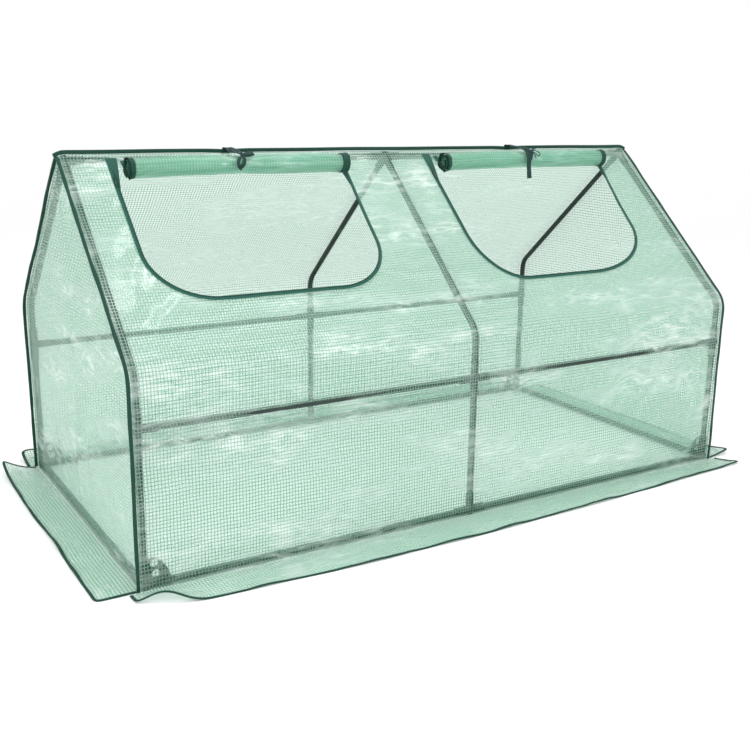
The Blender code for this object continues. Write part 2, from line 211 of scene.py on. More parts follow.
# ------------------------------------------------------------------ finishes
@dataclass(frozen=True)
class ScrimFilm:
    """Milky film with a square net of green yarn sealed inside it.

    Where the film is pressed on a tube it clears, so the tube shows dark between the yarns. Each pressed line
    is (a, b, c): the places on the cloth where a times |across| plus b times up is c.
    """

    name: str = "reinforced_film"
    pressed: tuple[Pressed, ...] = ()
    spots: tuple[Pressed, ...] = ()  # pressed discs: across, up and radius
    pitch: tuple[float, float] = (0.0078, 0.0084)  # yarn to yarn, along and up
    yarn: float = 0.0020  # width of a yarn
    haze: float = 0.22  # share of light that the bare film scatters
    pressed_haze: float = 0.05
    yarn_cover: float = 0.93
    glow: float = 0.50  # share of the scattered light that goes on through
    film_tint: Colour = (0.82, 0.96, 0.89)
    yarn_tint: Colour = (0.195, 0.435, 0.315)
    pass_tint: Colour = (0.875, 0.945, 0.905)
    crease_size: float = 0.060
    crease_stretch: float = 0.26  # creases run this much finer up the cloth than along it
    shine_haze: float = 0.58  # what the painted glints, partly real crease whitening, add to the haze
    # colour of the painted glints, partly real crease whitening
    shine_tint: Colour = (0.97, 1.0, 1.0)
    wander: float = 0.010  # how far the yarns stray from straight lines

    def net(self, bench: Bench, place: Socket) -> tuple[Socket, ...]:
        """The net of yarns.

        Args:
            bench: the material.
            place: the place on the cloth.

        Returns:
            How much of a yarn lies at the place, and how much of a crossing of two.
        """
        stray = bench.grain(place, 6.0, 2.0)
        split = bench.place("SeparateXYZ", {0: place})
        lines = []
        for axis, pitch in enumerate(self.pitch):
            run = bench.maths("MULTIPLY_ADD", stray, self.wander * (1 - 2 * axis), split.outputs[axis])
            step = bench.maths("FRACT", bench.maths("DIVIDE", run, pitch))
            off = bench.maths("ABSOLUTE", bench.maths("SUBTRACT", step, 0.5))
            edge = 0.5 - self.yarn / pitch / 2
            lines.append(bench.ramped(off, edge - 0.03, edge + 0.03))
        return bench.maths("MAXIMUM", *lines), bench.maths("MULTIPLY", *lines)

    def contact(self, bench: Bench, place: Socket) -> Socket | float:
        """Where the film is pressed on the tubes.

        Args:
            bench: the material.
            place: the place on the cloth.

        Returns:
            How hard the film is pressed at the place, from 0 to 1.
        """
        if not self.pressed:
            return 0.0
        split = bench.place("SeparateXYZ", {0: place})
        across, near = bench.maths("ABSOLUTE", split.outputs[0]), 1.0
        for a, b, c in self.pressed:
            rise = bench.maths("MULTIPLY_ADD", split.outputs[1], b, -c)
            level = bench.maths("MULTIPLY_ADD", across, a, rise)
            near = bench.maths("MINIMUM", near, bench.maths("ABSOLUTE", level))
        for a, b, radius in self.spots:
            spot = bench.place("CombineXYZ", {0: across, 1: split.outputs[1]}).outputs[0]
            away = bench.place("VectorMath", {0: spot, 1: (a, b, 0.0)}, operation="DISTANCE").outputs["Value"]
            near = bench.maths("MINIMUM", near, bench.maths("SUBTRACT", away, radius))
        frayed = bench.maths("MULTIPLY_ADD", bench.grain(place, 30.0, 3.0), 0.008, near)
        return bench.ramped(frayed, 0.0075, 0.0120, 1.0, 0.0)

    def creases(self, bench: Bench, place: Socket) -> tuple[Socket, ...]:
        """The crumples that the film keeps from its folding, with glints painted in streaky patches over
        them.

        Args:
            bench: the material.
            place: the place on the cloth.

        Returns:
            How much painted glint, partly real crease whitening, the film shows at the place, and its height
            there.
        """
        warp = bench.place("TexNoise", {"Vector": place, "Scale": 9.0, "Detail": 3.0}).outputs["Color"]
        moved = bench.vectors("ADD", place, bench.vectors("MULTIPLY", warp, (0.05, 0.05, 0.0)))
        squeezed = bench.vectors("MULTIPLY", moved, (self.crease_stretch, 1.0, 1.0))
        cells = {"Vector": squeezed, "Scale": 1 / self.crease_size, "Randomness": 1.0}
        edge = bench.place("TexVoronoi", cells, feature="DISTANCE_TO_EDGE").outputs["Distance"]
        fold = bench.ramped(edge, 0.0, 0.45)
        streaks = bench.ramped(bench.grain(squeezed, 62.0, 4.0, 0.62), 0.38, 0.66)
        ridges = bench.ramped(edge, 0.0, 0.10, 0.7, 0.0)
        patches = bench.ramped(bench.grain(squeezed, 7.5, 3.0, 0.6), 0.42, 0.66)
        whitening_and_glint = bench.maths("MULTIPLY", bench.maths("MAXIMUM", streaks, ridges), patches)
        height = bench.maths("MULTIPLY_ADD", bench.grain(squeezed, 110.0, 4.0, 0.6), 0.45, fold)
        return whitening_and_glint, height

    def material(self) -> bpy.types.Material:
        """Build the finish.

        Returns:
            The node material.
        """
        bench = Bench(self.name)
        place = bench.cloth_place()
        yarn, knot = self.net(bench, place)
        whitening_and_glint, height = self.creases(bench, place)
        # Painted glints: streaky patches of the cells between the yarns are whitened and made more opaque,
        # standing in for highlights off the crinkled film; partly real crease whitening.
        whitening_and_glint = bench.maths("MULTIPLY", whitening_and_glint, bench.maths("MULTIPLY_ADD", yarn, -0.70, 1.0))
        cleared = self.pressed_haze - self.haze
        milky = bench.maths("MULTIPLY_ADD", self.contact(bench, place), cleared, self.haze)
        milky = bench.maths("MULTIPLY_ADD", whitening_and_glint, self.shine_haze, milky)
        cover = bench.maths("MULTIPLY_ADD", yarn, bench.maths("SUBTRACT", self.yarn_cover, milky), milky)
        cover = bench.maths("MULTIPLY_ADD", knot, 0.06, cover)
        tone = bench.tinted(yarn, self.film_tint, self.yarn_tint)
        # The painted glints turn the colour nearly white.
        tone = bench.tinted(bench.maths("MULTIPLY", whitening_and_glint, 0.85), tone, self.shine_tint)
        height = bench.maths("MULTIPLY_ADD", yarn, 0.06, height)
        normal = bench.bumped(height, 0.6, 0.004)
        rough = bench.maths("MULTIPLY_ADD", yarn, 0.16, bench.ramped(whitening_and_glint, 0.0, 1.0, 0.24, 0.14))
        gloss = bench.place(
            "BsdfPrincipled",
            {
                "Base Color": tone,
                "Roughness": rough,
                "Normal": normal,
                "Specular IOR Level": 0.9,
                "Coat Weight": 0.8,
                "Coat Roughness": 0.10,
            },
        )
        through = bench.place("BsdfTranslucent", {"Color": tone, "Normal": normal})
        share = bench.ramped(whitening_and_glint, 0.0, 1.0, self.glow, self.glow * 0.6)
        body = bench.place("MixShader", {0: share, 1: gloss.outputs[0], 2: through.outputs[0]})
        hole = bench.place("BsdfTransparent", {"Color": self.pass_tint})
        film = bench.place("MixShader", {0: cover, 1: hole.outputs[0], 2: body.outputs[0]})
        return bench.finish(film.outputs[0])


@dataclass(frozen=True)
class WovenTape:
    """Woven binding tape: fine ribs across it, a little fuzz, and a worn sheen on its folds."""

    name: str = "binding_tape"
    tint: Colour = (0.012, 0.075, 0.050)
    dark: Colour = (0.004, 0.032, 0.021)
    rib: float = 0.0010
    cross_rib: float = 0.0016
    rough: float = 0.62

    def material(self) -> bpy.types.Material:
        """Build the finish.

        Returns:
            The node material.
        """
        bench = Bench(self.name)
        place = bench.cloth_place()
        split = bench.place("SeparateXYZ", {0: place})
        ribs = []
        for axis, size in ((0, self.rib), (1, self.cross_rib)):
            wave = bench.maths("SINE", bench.maths("MULTIPLY", split.outputs[axis], 2 * math.pi / size))
            ribs.append(bench.maths("MULTIPLY_ADD", wave, 0.5, 0.5))
        weave = bench.maths("MULTIPLY", *ribs)
        patch = bench.grain(place, 26.0, 4.0, 0.6)
        fuzz = bench.grain(place, 1400.0, 2.0, 0.7)
        share = bench.maths("MULTIPLY_ADD", weave, 0.45, bench.maths("MULTIPLY", patch, 0.7))
        tone = bench.tinted(share, self.dark, self.tint)
        height = bench.maths("MULTIPLY_ADD", fuzz, 0.5, weave)
        rough = bench.ramped(patch, 0.3, 0.7, self.rough - 0.10, self.rough + 0.12)
        cloth = bench.place(
            "BsdfPrincipled",
            {
                "Base Color": tone,
                "Roughness": rough,
                "Normal": bench.bumped(height, 0.6, 0.0004),
                "Specular IOR Level": 0.2,
                "Sheen Weight": 0.03,
                "Sheen Roughness": 0.5,
            },
        )
        return bench.finish(cloth.outputs[0])


@dataclass(frozen=True)
class TubePaint:
    """Dark powder paint on steel tube, with faint orange peel and paler rubbed patches."""

    name: str = "painted_tube"
    tint: Colour = (0.0150, 0.0300, 0.0240)
    rubbed: Colour = (0.040, 0.066, 0.056)

    def material(self) -> bpy.types.Material:
        """Build the finish.

        Returns:
            The node material.
        """
        bench = Bench(self.name)
        place = bench.object_place()
        rub = bench.ramped(bench.grain(place, 22.0, 5.0, 0.65), 0.52, 0.74)
        peel = bench.grain(place, 420.0, 2.0)
        tone = bench.tinted(rub, self.tint, self.rubbed)
        rough = bench.ramped(bench.grain(place, 60.0, 3.0), 0.3, 0.7, 0.30, 0.48)
        paint = bench.place(
            "BsdfPrincipled",
            {
                "Base Color": tone,
                "Roughness": rough,
                "Normal": bench.bumped(peel, 0.25, 0.0005),
                "Specular IOR Level": 0.3,
            },
        )
        return bench.finish(paint.outputs[0])


@dataclass(frozen=True)
class MouldedPlastic:
    """Moulded plastic with a fine spark texture and slightly paler flow marks."""

    name: str = "moulded_joint"
    tint: Colour = (0.0095, 0.0290, 0.0215)
    flow: Colour = (0.0190, 0.0460, 0.0360)
    rough: float = 0.46

    def material(self) -> bpy.types.Material:
        """Build the finish.

        Returns:
            The node material.
        """
        bench = Bench(self.name)
        place = bench.object_place()
        marks = bench.grain(place, 34.0, 3.0, 0.55)
        spark = bench.grain(place, 1600.0, 2.0, 0.6)
        tone = bench.tinted(bench.ramped(marks, 0.45, 0.75), self.tint, self.flow)
        rough = bench.ramped(marks, 0.3, 0.7, self.rough - 0.07, self.rough + 0.09)
        shell = bench.place(
            "BsdfPrincipled",
            {
                "Base Color": tone,
                "Roughness": rough,
                "Normal": bench.bumped(spark, 0.35, 0.0003),
                "Specular IOR Level": 0.3,
            },
        )
        return bench.finish(shell.outputs[0])


@dataclass(frozen=True)
class Thread:
    """Twisted sewing thread, a shade paler than the tape it holds."""

    name: str = "sewing_thread"
    tint: Colour = (0.030, 0.150, 0.105)
    dark: Colour = (0.012, 0.075, 0.050)

    def material(self) -> bpy.types.Material:
        """Build the finish.

        Returns:
            The node material.
        """
        bench = Bench(self.name)
        place = bench.object_place()
        twist = bench.grain(place, 2600.0, 1.0)
        yarn = bench.place(
            "BsdfPrincipled",
            {
                "Base Color": bench.tinted(bench.ramped(twist, 0.35, 0.65), self.dark, self.tint),
                "Roughness": bench.ramped(twist, 0.3, 0.7, 0.45, 0.65),
                "Normal": bench.bumped(twist, 0.4, 0.0002),
            },
        )
        return bench.finish(yarn.outputs[0])


class Finishes:
    """Every finish of the greenhouse, made once and shared by the pieces."""

    def __init__(self, shape: "CoverShape") -> None:
        """Make the materials.

        Args:
            shape: where the tubes press on the cover.
        """
        self.film = ScrimFilm().material()
        # The door and its roll get a greener, brighter copy of the film: painted light, standing in for the
        # deeper green that light takes on through the wound layers.
        self.wound_film = ScrimFilm(
            name="wound_film",
            haze=0.36,
            yarn_cover=0.84,
            film_tint=(0.50, 0.86, 0.70),
            yarn_tint=(0.24, 0.54, 0.40),
        ).material()
        self.long_film = ScrimFilm("long_panel_film", shape.long_contacts(), shape.corner_spots()).material()
        self.end_film = ScrimFilm("end_panel_film", shape.end_contacts()).material()
        self.tape = WovenTape().material()
        zip_tints = (0.020, 0.125, 0.090), (0.010, 0.066, 0.047)
        self.zip_tape = WovenTape("zip_tape", *zip_tints, rib=0.0007, cross_rib=0.0012).material()
        ribbon_tints = (0.022, 0.066, 0.060), (0.005, 0.024, 0.020)
        self.ribbon = WovenTape("tie_ribbon", *ribbon_tints, rib=0.0008, cross_rib=0.0012).material()
        self.tube = TubePaint().material()
        self.joint = MouldedPlastic().material()
        self.coil = MouldedPlastic("zip_coil", (0.008, 0.044, 0.032), (0.014, 0.062, 0.046), 0.34).material()
        self.slider = TubePaint("slider_enamel", (0.008, 0.036, 0.027), (0.060, 0.090, 0.080)).material()
        self.thread = Thread().material()


# ------------------------------------------------------------------ meshes
class Shell:
    """Vertices, faces and cloth coordinates gathered for one mesh."""

    def __init__(self) -> None:
        """Start with nothing."""
        self.points: list[np.ndarray] = []
        self.count = 0
        self.faces: list[tuple[int, ...]] = []
        self.corners: list[tuple[float, float]] = []

    def add_grid(
        self,
        points: np.ndarray,
        cloth: np.ndarray,
        keep: np.ndarray | None = None,
        closed: bool = False,
    ) -> int:
        """Add a sheet of quads.

        Args:
            points: rows by columns by 3.
            cloth: rows by columns by 2, one more column than points where the sheet closes on itself.
            keep: rows - 1 by columns - 1, false where there is no face.
            closed: whether the last column joins the first.

        Returns:
            The number of the grid's first vertex.
        """
        first, (rows, columns) = self.count, points.shape[:2]
        self.points.append(points.reshape(-1, 3))
        self.count += rows * columns
        spans = columns if closed else columns - 1
        for row in range(rows - 1):
            for column in range(spans):
                if keep is not None and not keep[row, column]:
                    continue
                beside = (column + 1) % columns
                here, there = first + row * columns, first + (row + 1) * columns
                self.faces.append((here + column, here + beside, there + beside, there + column))
                for r, c in ((row, column), (row, column + 1), (row + 1, column + 1), (row + 1, column)):
                    self.corners.append((float(cloth[r, c, 0]), float(cloth[r, c, 1])))
        return first

    def add_cap(self, ring: Sequence[int], place: tuple[float, float]) -> None:
        """Close a ring of vertices with one face.

        Args:
            ring: vertex numbers in order.
            place: where the cap lies on the cloth.
        """
        self.faces.append(tuple(ring))
        self.corners.extend([place] * len(ring))

    def build(self, name: str, material: bpy.types.Material, smooth: bool = True) -> bpy.types.Object:
        """Turn what was gathered into an object.

        Args:
            name: the piece's name.
            material: its finish.
            smooth: whether its faces are shaded smooth.

        Returns:
            The object, without stray vertices.
        """
        places = np.concatenate(self.points)
        used = np.zeros(len(places), bool)
        for face in self.faces:
            used[list(face)] = True
        number = np.cumsum(used) - 1
        mesh = bpy.data.meshes.new(name)
        faces = [tuple(int(number[i]) for i in face) for face in self.faces]
        mesh.from_pydata(places[used].tolist(), [], faces)
        layer = mesh.uv_layers.new(name=CLOTH_MAP)
        layer.uv.foreach_set("vector", np.asarray(self.corners, np.float32).ravel())
        mesh.polygons.foreach_set("use_smooth", np.full(len(mesh.polygons), smooth))
        mesh.materials.append(material)
        mesh.update()
        piece = bpy.data.objects.new(name, mesh)
        bpy.context.scene.collection.objects.link(piece)
        return piece


def settle(piece: bpy.types.Object, body: str, slot: Slot, *nodes: str) -> bpy.types.Object:
    """Let a piece move with a body and stand for CAD nodes.

    Args:
        piece: the piece.
        body: the body it rides on.
        slot: the material slot of its finish; not used.
        *nodes: the nodes it stands for.

    Returns:
        The same piece.
    """
    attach(piece, body)
    if nodes:
        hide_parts(*nodes)
    return piece


def rounded_bar(width: float, thick: float, steps: int = 3) -> np.ndarray:
    """The outline of a flat bar with round edges.

    Args:
        width: its whole width.
        thick: its thickness.
        steps: faces round each edge.

    Returns:
        Points (across, up).
    """
    half, radius = max(width / 2 - thick / 2, 0.0), thick / 2
    ring = []
    for side, start in ((1, -math.pi / 2), (-1, math.pi / 2)):
        for step in range(steps + 1):
            angle = start + math.pi * step / steps
            ring.append((side * half + radius * math.cos(angle), radius * math.sin(angle)))
    return np.array(ring)


def unit(vectors: np.ndarray) -> np.ndarray:
    """The same vectors, each one unit long."""
    return vectors / (np.linalg.norm(vectors, axis=-1, keepdims=True) + 1e-12)


def run_along(path: np.ndarray) -> np.ndarray:
    """How far each point of a path lies from its start, along it."""
    return np.concatenate([[0], np.cumsum(np.linalg.norm(np.diff(path, axis=0), axis=1))])


def columns_at(places: np.ndarray, marks: np.ndarray, values: np.ndarray) -> np.ndarray:
    """Each column of some values, known at marks, read off at places."""
    return np.stack([np.interp(places, marks, values[:, axis]) for axis in range(values.shape[1])], axis=1)


def waver(places: np.ndarray, size: float, *seed: float) -> np.ndarray:
    """Smooth noise at places along a line: the size of its waves, then two numbers that pick the noise."""
    return np.array([noise.noise((float(place) / size, *seed)) for place in places])


def sweep(
    shell: Shell,
    path: np.ndarray,
    ups: np.ndarray,
    section: np.ndarray,
    widths: np.ndarray | None = None,
    heights: np.ndarray | None = None,
) -> None:
    """Draw a closed outline along a path, capped at both ends.

    Args:
        shell: where the faces go.
        path: points along the way.
        ups: at each point, the direction that the outline's second axis takes.
        section: the outline, across and up.
        widths: at each point, what the outline's first axis is multiplied by.
        heights: the same for its second axis.
    """
    path, ups = np.asarray(path, float), np.broadcast_to(np.asarray(ups, float), np.shape(path))
    along = unit(np.gradient(path, axis=0))
    across = unit(np.cross(along, ups))
    lift = np.cross(across, along)
    wide = np.ones(len(path)) if widths is None else np.asarray(widths, float)
    high = np.ones(len(path)) if heights is None else np.asarray(heights, float)
    ring = (
        path[:, None]
        + across[:, None] * (section[None, :, :1] * wide[:, None, None])
        + lift[:, None] * (section[None, :, 1:] * high[:, None, None])
    )
    run, round_run = run_along(path), run_along(np.vstack([section, section[:1]]))
    cloth = np.stack(np.broadcast_arrays(run[:, None], round_run[None, :]), axis=-1)
    first, count = shell.add_grid(ring, cloth, closed=True), len(section)
    last = first + (len(path) - 1) * count
    shell.add_cap(range(first + count - 1, first - 1, -1), (0.0, 0.0))
    shell.add_cap(range(last, last + count), (float(run[-1]), 0.0))


def resampled(path: Sequence[Sequence[float]], step: float) -> np.ndarray:
    """The same path with its points spread evenly.

    Args:
        path: points along the way.
        step: about how far apart the new points lie.

    Returns:
        The new points.
    """
    points = np.asarray(path, float)
    run = run_along(points)
    return columns_at(np.linspace(0, run[-1], max(2, round(run[-1] / step) + 1)), run, points)


def smoothed(path: Sequence[Sequence[float]], step: float) -> np.ndarray:
    """A soft curve through the points of a path.

    Args:
        path: points that the curve passes through.
        step: about how far apart the curve's own points lie.

    Returns:
        The curve's points.
    """
    points = np.asarray(path, float)
    ends = np.vstack([2 * points[0] - points[1], points, 2 * points[-1] - points[-2]])
    curve = []
    for a, b, c, d in zip(ends, ends[1:], ends[2:], ends[3:]):
        bend, twist = 2 * a - 5 * b + 4 * c - d, 3 * b - a - 3 * c + d
        for t in np.linspace(0, 1, 8, endpoint=False):
            curve.append(0.5 * (2 * b + (c - a) * t + bend * t**2 + twist * t**3))
    return resampled([*curve, points[-1]], step)


def stitches(
    shell: Shell, path: np.ndarray, ups: np.ndarray, pitch: float = 0.0042, bite: float = 0.0026
) -> None:
    """Lay a row of lockstitches along a path.

    Args:
        shell: where the faces go.
        path: the row's line on the surface.
        ups: away from the surface at each point.
        pitch: from one stitch to the next.
        bite: length of a stitch.
    """
    line = resampled(path, pitch)
    ups = np.broadcast_to(np.asarray(ups, float), np.shape(path))
    share = np.linspace(0, 1, len(line))
    high = columns_at(share, np.linspace(0, 1, len(ups)), ups)
    along = unit(np.gradient(line, axis=0))
    across = np.cross(along, high)
    half, thick = bite / 2, 0.00035
    form = ((-half, 0.0, 0.4), (-half * 0.5, 1.0, 0.9), (-half * 0.5, -1.0, 0.9), (0.0, 0.0, 2.0))
    form += ((half * 0.5, 1.0, 0.9), (half * 0.5, -1.0, 0.9), (half, 0.0, 0.4))
    top = ((0, 1, 3), (0, 3, 2), (1, 4, 3), (2, 3, 5), (4, 6, 3), (5, 3, 6))
    faces = top + ((0, 2, 1), (1, 2, 5), (1, 5, 4), (4, 5, 6))
    for place, a, b, c in zip(line, along, across, high):
        first = shell.count
        corners = [place + a * x + b * y * thick + c * (z - 0.5) * thick for x, y, z in form]
        shell.points.append(np.array(corners))
        shell.count += len(form)
        for face in faces:
            shell.add_cap([first + number for number in face], (0.0, 0.0))


# ------------------------------------------------------------------ the frame's shape
@dataclass(frozen=True)
class CoverShape:
    """Where the cover lies round the frame, in metres."""

    half_length: float
    half_depth: float
    base: float
    mid: float
    ridge: float
    film_out: float  # outer face of the film above the centre line of a tube
    film: float = 0.0009
    eave_rise: float = 0.480
    eave_radius: float = 0.060
    foot: float = 0.0015

    @classmethod
    def from_frame(cls) -> "CoverShape":
        """Read the places of the tubes and the front panel.

        Returns:
            The cover's shape.
        """

        def middle(node: str) -> Vector:
            """The middle of a node's box."""
            low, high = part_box(node)
            return (Vector(low) + Vector(high)) / 2

        leg, low = middle("back_right_lower_leg"), Vector(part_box("front_panel")[0])
        return cls(
            half_length=leg.x,
            half_depth=leg.y,
            base=middle("front_base_rail_left").z,
            mid=middle("front_mid_rail_left").z,
            ridge=middle("ridge_tube_left").z,
            film_out=-low.y - leg.y,
        )

    @property
    def cover(self) -> float:
        """The middle of the film above the centre line of a tube."""
        return self.film_out - self.film / 2

    @property
    def end(self) -> float:
        """X of the outer edge of the front and back panels."""
        return self.half_length + self.film_out

    @property
    def slope(self) -> float:
        """Angle of the roof."""
        return math.atan2(self.ridge - self.base - self.eave_rise, self.half_depth)

    @property
    def down(self) -> np.ndarray:
        """Direction down the front roof."""
        return np.array((0.0, -math.cos(self.slope), -math.sin(self.slope)))

    @property
    def out(self) -> np.ndarray:
        """Direction away from the front roof."""
        return np.array((0.0, -math.sin(self.slope), math.cos(self.slope)))

    def on_roof(self, x: float, down: float, out: float) -> np.ndarray:
        """A point on the front roof: along the ridge, down from it, out from the tubes' centre line."""
        return np.array((x, 0.0, self.ridge)) + self.down * down + self.out * out

    def profile(self, face: Face, offset: float, slit: float = 0.0) -> tuple[np.ndarray, np.ndarray]:
        """The cover's path up a wall and a roof.

        Args:
            face: the long face.
            offset: distance outside the tubes' centre line.
            slit: how far from the middle of the ridge the path ends.

        Returns:
            Points (y, z) from the foot to the ridge, and the outward direction at each.
        """
        turn = math.pi / 2 - self.slope
        centre_y = self.half_depth - self.eave_radius
        centre_z = self.base + self.eave_rise - self.eave_radius * math.tan(turn / 2)
        radius = self.eave_radius + offset
        path = [(self.half_depth + offset, self.foot)]
        out = [(1.0, 0.0)]
        for angle in np.linspace(0, turn, 13):
            path.append((centre_y + radius * math.cos(angle), centre_z + radius * math.sin(angle)))
            out.append((math.cos(angle), math.sin(angle)))
        apex = self.ridge + offset / math.cos(self.slope) - slit * math.tan(self.slope)
        path.append((slit, apex))
        out.append(out[-1])
        scale = np.array((face.value, 1.0))
        return np.array(path) * scale, np.array(out) * scale

    def long_contacts(self) -> tuple[Pressed, ...]:
        """Where hoops and rails press on a long panel.

        Returns:
            A line on the cloth for each tube.
        """
        top = float(run_along(self.profile(Face.BACK, self.cover)[0])[-1])
        ridge = top - self.cover * math.tan(self.slope)
        rails = tuple((0.0, 1.0, level) for level in (self.base - self.foot, self.mid - self.foot, ridge))
        return ((1.0, 0.0, self.half_length), (1.0, 0.0, 0.0), *rails)

    def corner_spots(self) -> tuple[Pressed, ...]:
        """Where the webs of the base corners press on a long panel."""
        return ((self.half_length - 0.022, 0.022, 0.040),)

    def end_contacts(self) -> tuple[Pressed, ...]:
        """Where a hoop and the side rail press on an end panel."""
        slant = (math.sin(self.slope), math.cos(self.slope), self.ridge * math.cos(self.slope))
        return ((1.0, 0.0, self.half_depth), slant, (0.0, 1.0, self.base))

    def rows(self, face: Face, offset: float, step: float, slit: float = 0.0) -> tuple[np.ndarray, ...]:
        """The profile cut into even rows.

        Args:
            face: the long face.
            offset: distance outside the tubes' centre line.
            step: height of a row.
            slit: how far from the middle of the ridge the path ends.

        Returns:
            Each row's distance from the foot, its point (y, z) and its outward direction.
        """
        path, out = self.profile(face, offset, slit)
        run = run_along(path)
        places = np.linspace(0, run[-1], round(run[-1] / step) + 1)
        return places, columns_at(places, run, path), unit(columns_at(places, run, out))


@dataclass(frozen=True)
class WindowShape:
    """One D-shaped window of the front roof, as it was sewn, measured down the slope from the ridge."""

    side: Side
    middle: float
    left: float = 0.310  # half widths to either side of the middle
    right: float = 0.307
    flare: float = 0.014  # how far the right edge leans out at the ridge
    top: float = 0.045
    straight_end: float = 0.300
    bottom: float = 0.443
    left_corner: float = 0.155  # widths of the rounded corners
    right_corner: float = 0.150

    @classmethod
    def from_frame(cls, side: Side) -> "WindowShape":
        """Read the window's middle from its zip tape.

        Args:
            side: which window.

        Returns:
            The window's shape.
        """
        low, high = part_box(f"{side.label}_zip_tape")
        middle = (low[0] + high[0]) / 2
        if side is Side.LEFT:
            return cls(side, middle)
        corners = {"left_corner": 0.130, "right_corner": 0.240}
        return cls(side, middle, right=0.296, flare=0.040, bottom=0.466, **corners)

    def outline(self, grow: float = 0.0, steps: int = 24, start: float | None = None) -> np.ndarray:
        """The U of the opening, from the top left round the bottom to the top right.

        Args:
            grow: how far outside the opening.
            steps: points in each rounded corner.
            start: where its two ends lie, down the slope; the opening's own top if none is given.

        Returns:
            Points (x, down).
        """
        drop, top = self.bottom - self.straight_end, self.top if start is None else start
        angles = np.linspace(0, math.pi / 2, steps + 1)
        legs = np.linspace(top, self.straight_end, 12, endpoint=False)
        halves = []
        for half, width in ((self.left, self.left_corner), (self.right, self.right_corner)):
            lean = self.flare if half is self.right else 0.0
            leg = np.stack([half + grow + lean * (1 - legs / self.straight_end) ** 1.5, legs], axis=1)
            round_x = half - width + (width + grow) * np.cos(angles)
            round_down = self.straight_end + (drop + grow) * np.sin(angles)
            halves.append(np.vstack([leg, np.stack([round_x, round_down], axis=1)]))
        left, right = halves[0] * (-1, 1), halves[1]
        return np.vstack([left, right[::-1]]) + (self.middle, 0.0)

    def half_widths(self, down: float) -> tuple[float, float]:
        """How wide the opening is.

        Args:
            down: a place down the slope.

        Returns:
            Its widths to the left and right of its middle there.
        """
        if down <= self.straight_end:
            return self.left, self.right
        share = min((down - self.straight_end) / (self.bottom - self.straight_end), 1.0)
        curve = 1 - math.sqrt(1 - share**2)
        return self.left - self.left_corner * curve, self.right - self.right_corner * curve


def reach_to(points: np.ndarray, line: np.ndarray) -> tuple[np.ndarray, np.ndarray]:
    """The nearest points of a closed line.

    Args:
        points: places (x, y).
        line: corners of the closed line.

    Returns:
        The nearest place on the line for each point, and whether the point lies inside the line.
    """
    ends = np.roll(line, -1, axis=0)
    best, nearest = np.full(len(points), np.inf), points.copy()
    inside = np.zeros(len(points), bool)
    for a, b in zip(line, ends):
        way = b - a
        share = np.clip(((points - a) @ way) / (way @ way + 1e-15), 0, 1)
        foot = a + share[:, None] * way
        far = np.linalg.norm(points - foot, axis=1)
        nearest[far < best] = foot[far < best]
        best = np.minimum(best, far)
        spans = (a[1] > points[:, 1]) != (b[1] > points[:, 1])
        level = np.where(spans, (points[:, 1] - a[1]) / (b[1] - a[1] + 1e-15), 0.0)
        inside ^= spans & (points[:, 0] < a[0] + level * way[0])
    return nearest, inside


@dataclass(frozen=True)
class Crumple:
    """How film lies off its true surface: slow swells, long pulled folds and short crinkles."""

    swell: float = 0.0040
    swell_size: float = 0.30
    fold: float = 0.0018
    fold_size: float = 0.045
    fold_length: float = 0.32
    fold_turn: float = 0.6  # direction of the folds
    crinkle: float = 0.0009
    crinkle_size: float = 0.055
    seed: float = 0.0

    def height(self, u: float, v: float) -> float:
        """The height of the film off its true surface.

        Args:
            u: the place along it.
            v: the place up it.

        Returns:
            The height there.
        """
        along = u * math.cos(self.fold_turn) + v * math.sin(self.fold_turn)
        across = v * math.cos(self.fold_turn) - u * math.sin(self.fold_turn)
        swell = noise.noise((u / self.swell_size, v / self.swell_size, self.seed))
        fold = noise.noise((along / self.fold_length, across / self.fold_size, self.seed + 7.3))
        place = (u / self.crinkle_size, v / self.crinkle_size, self.seed + 3.1)
        ridge = 1 - 2 * abs(noise.noise(place)) - 0.6 * abs(noise.noise([2.3 * part for part in place]))
        return self.swell * swell + self.fold * fold + self.crinkle * ridge

    def field(self, us: np.ndarray, vs: np.ndarray) -> np.ndarray:
        """The heights over a grid of places."""
        flat = [self.height(float(u), float(v)) for u, v in zip(us.ravel(), vs.ravel())]
        return np.array(flat).reshape(us.shape)


def eased(distance: np.ndarray, reach: float) -> np.ndarray:
    """0 where something is held, rising smoothly to 1 at a reach from it."""
    share = np.clip(np.abs(distance) / reach, 0, 1)
    return share * share * (3 - 2 * share)


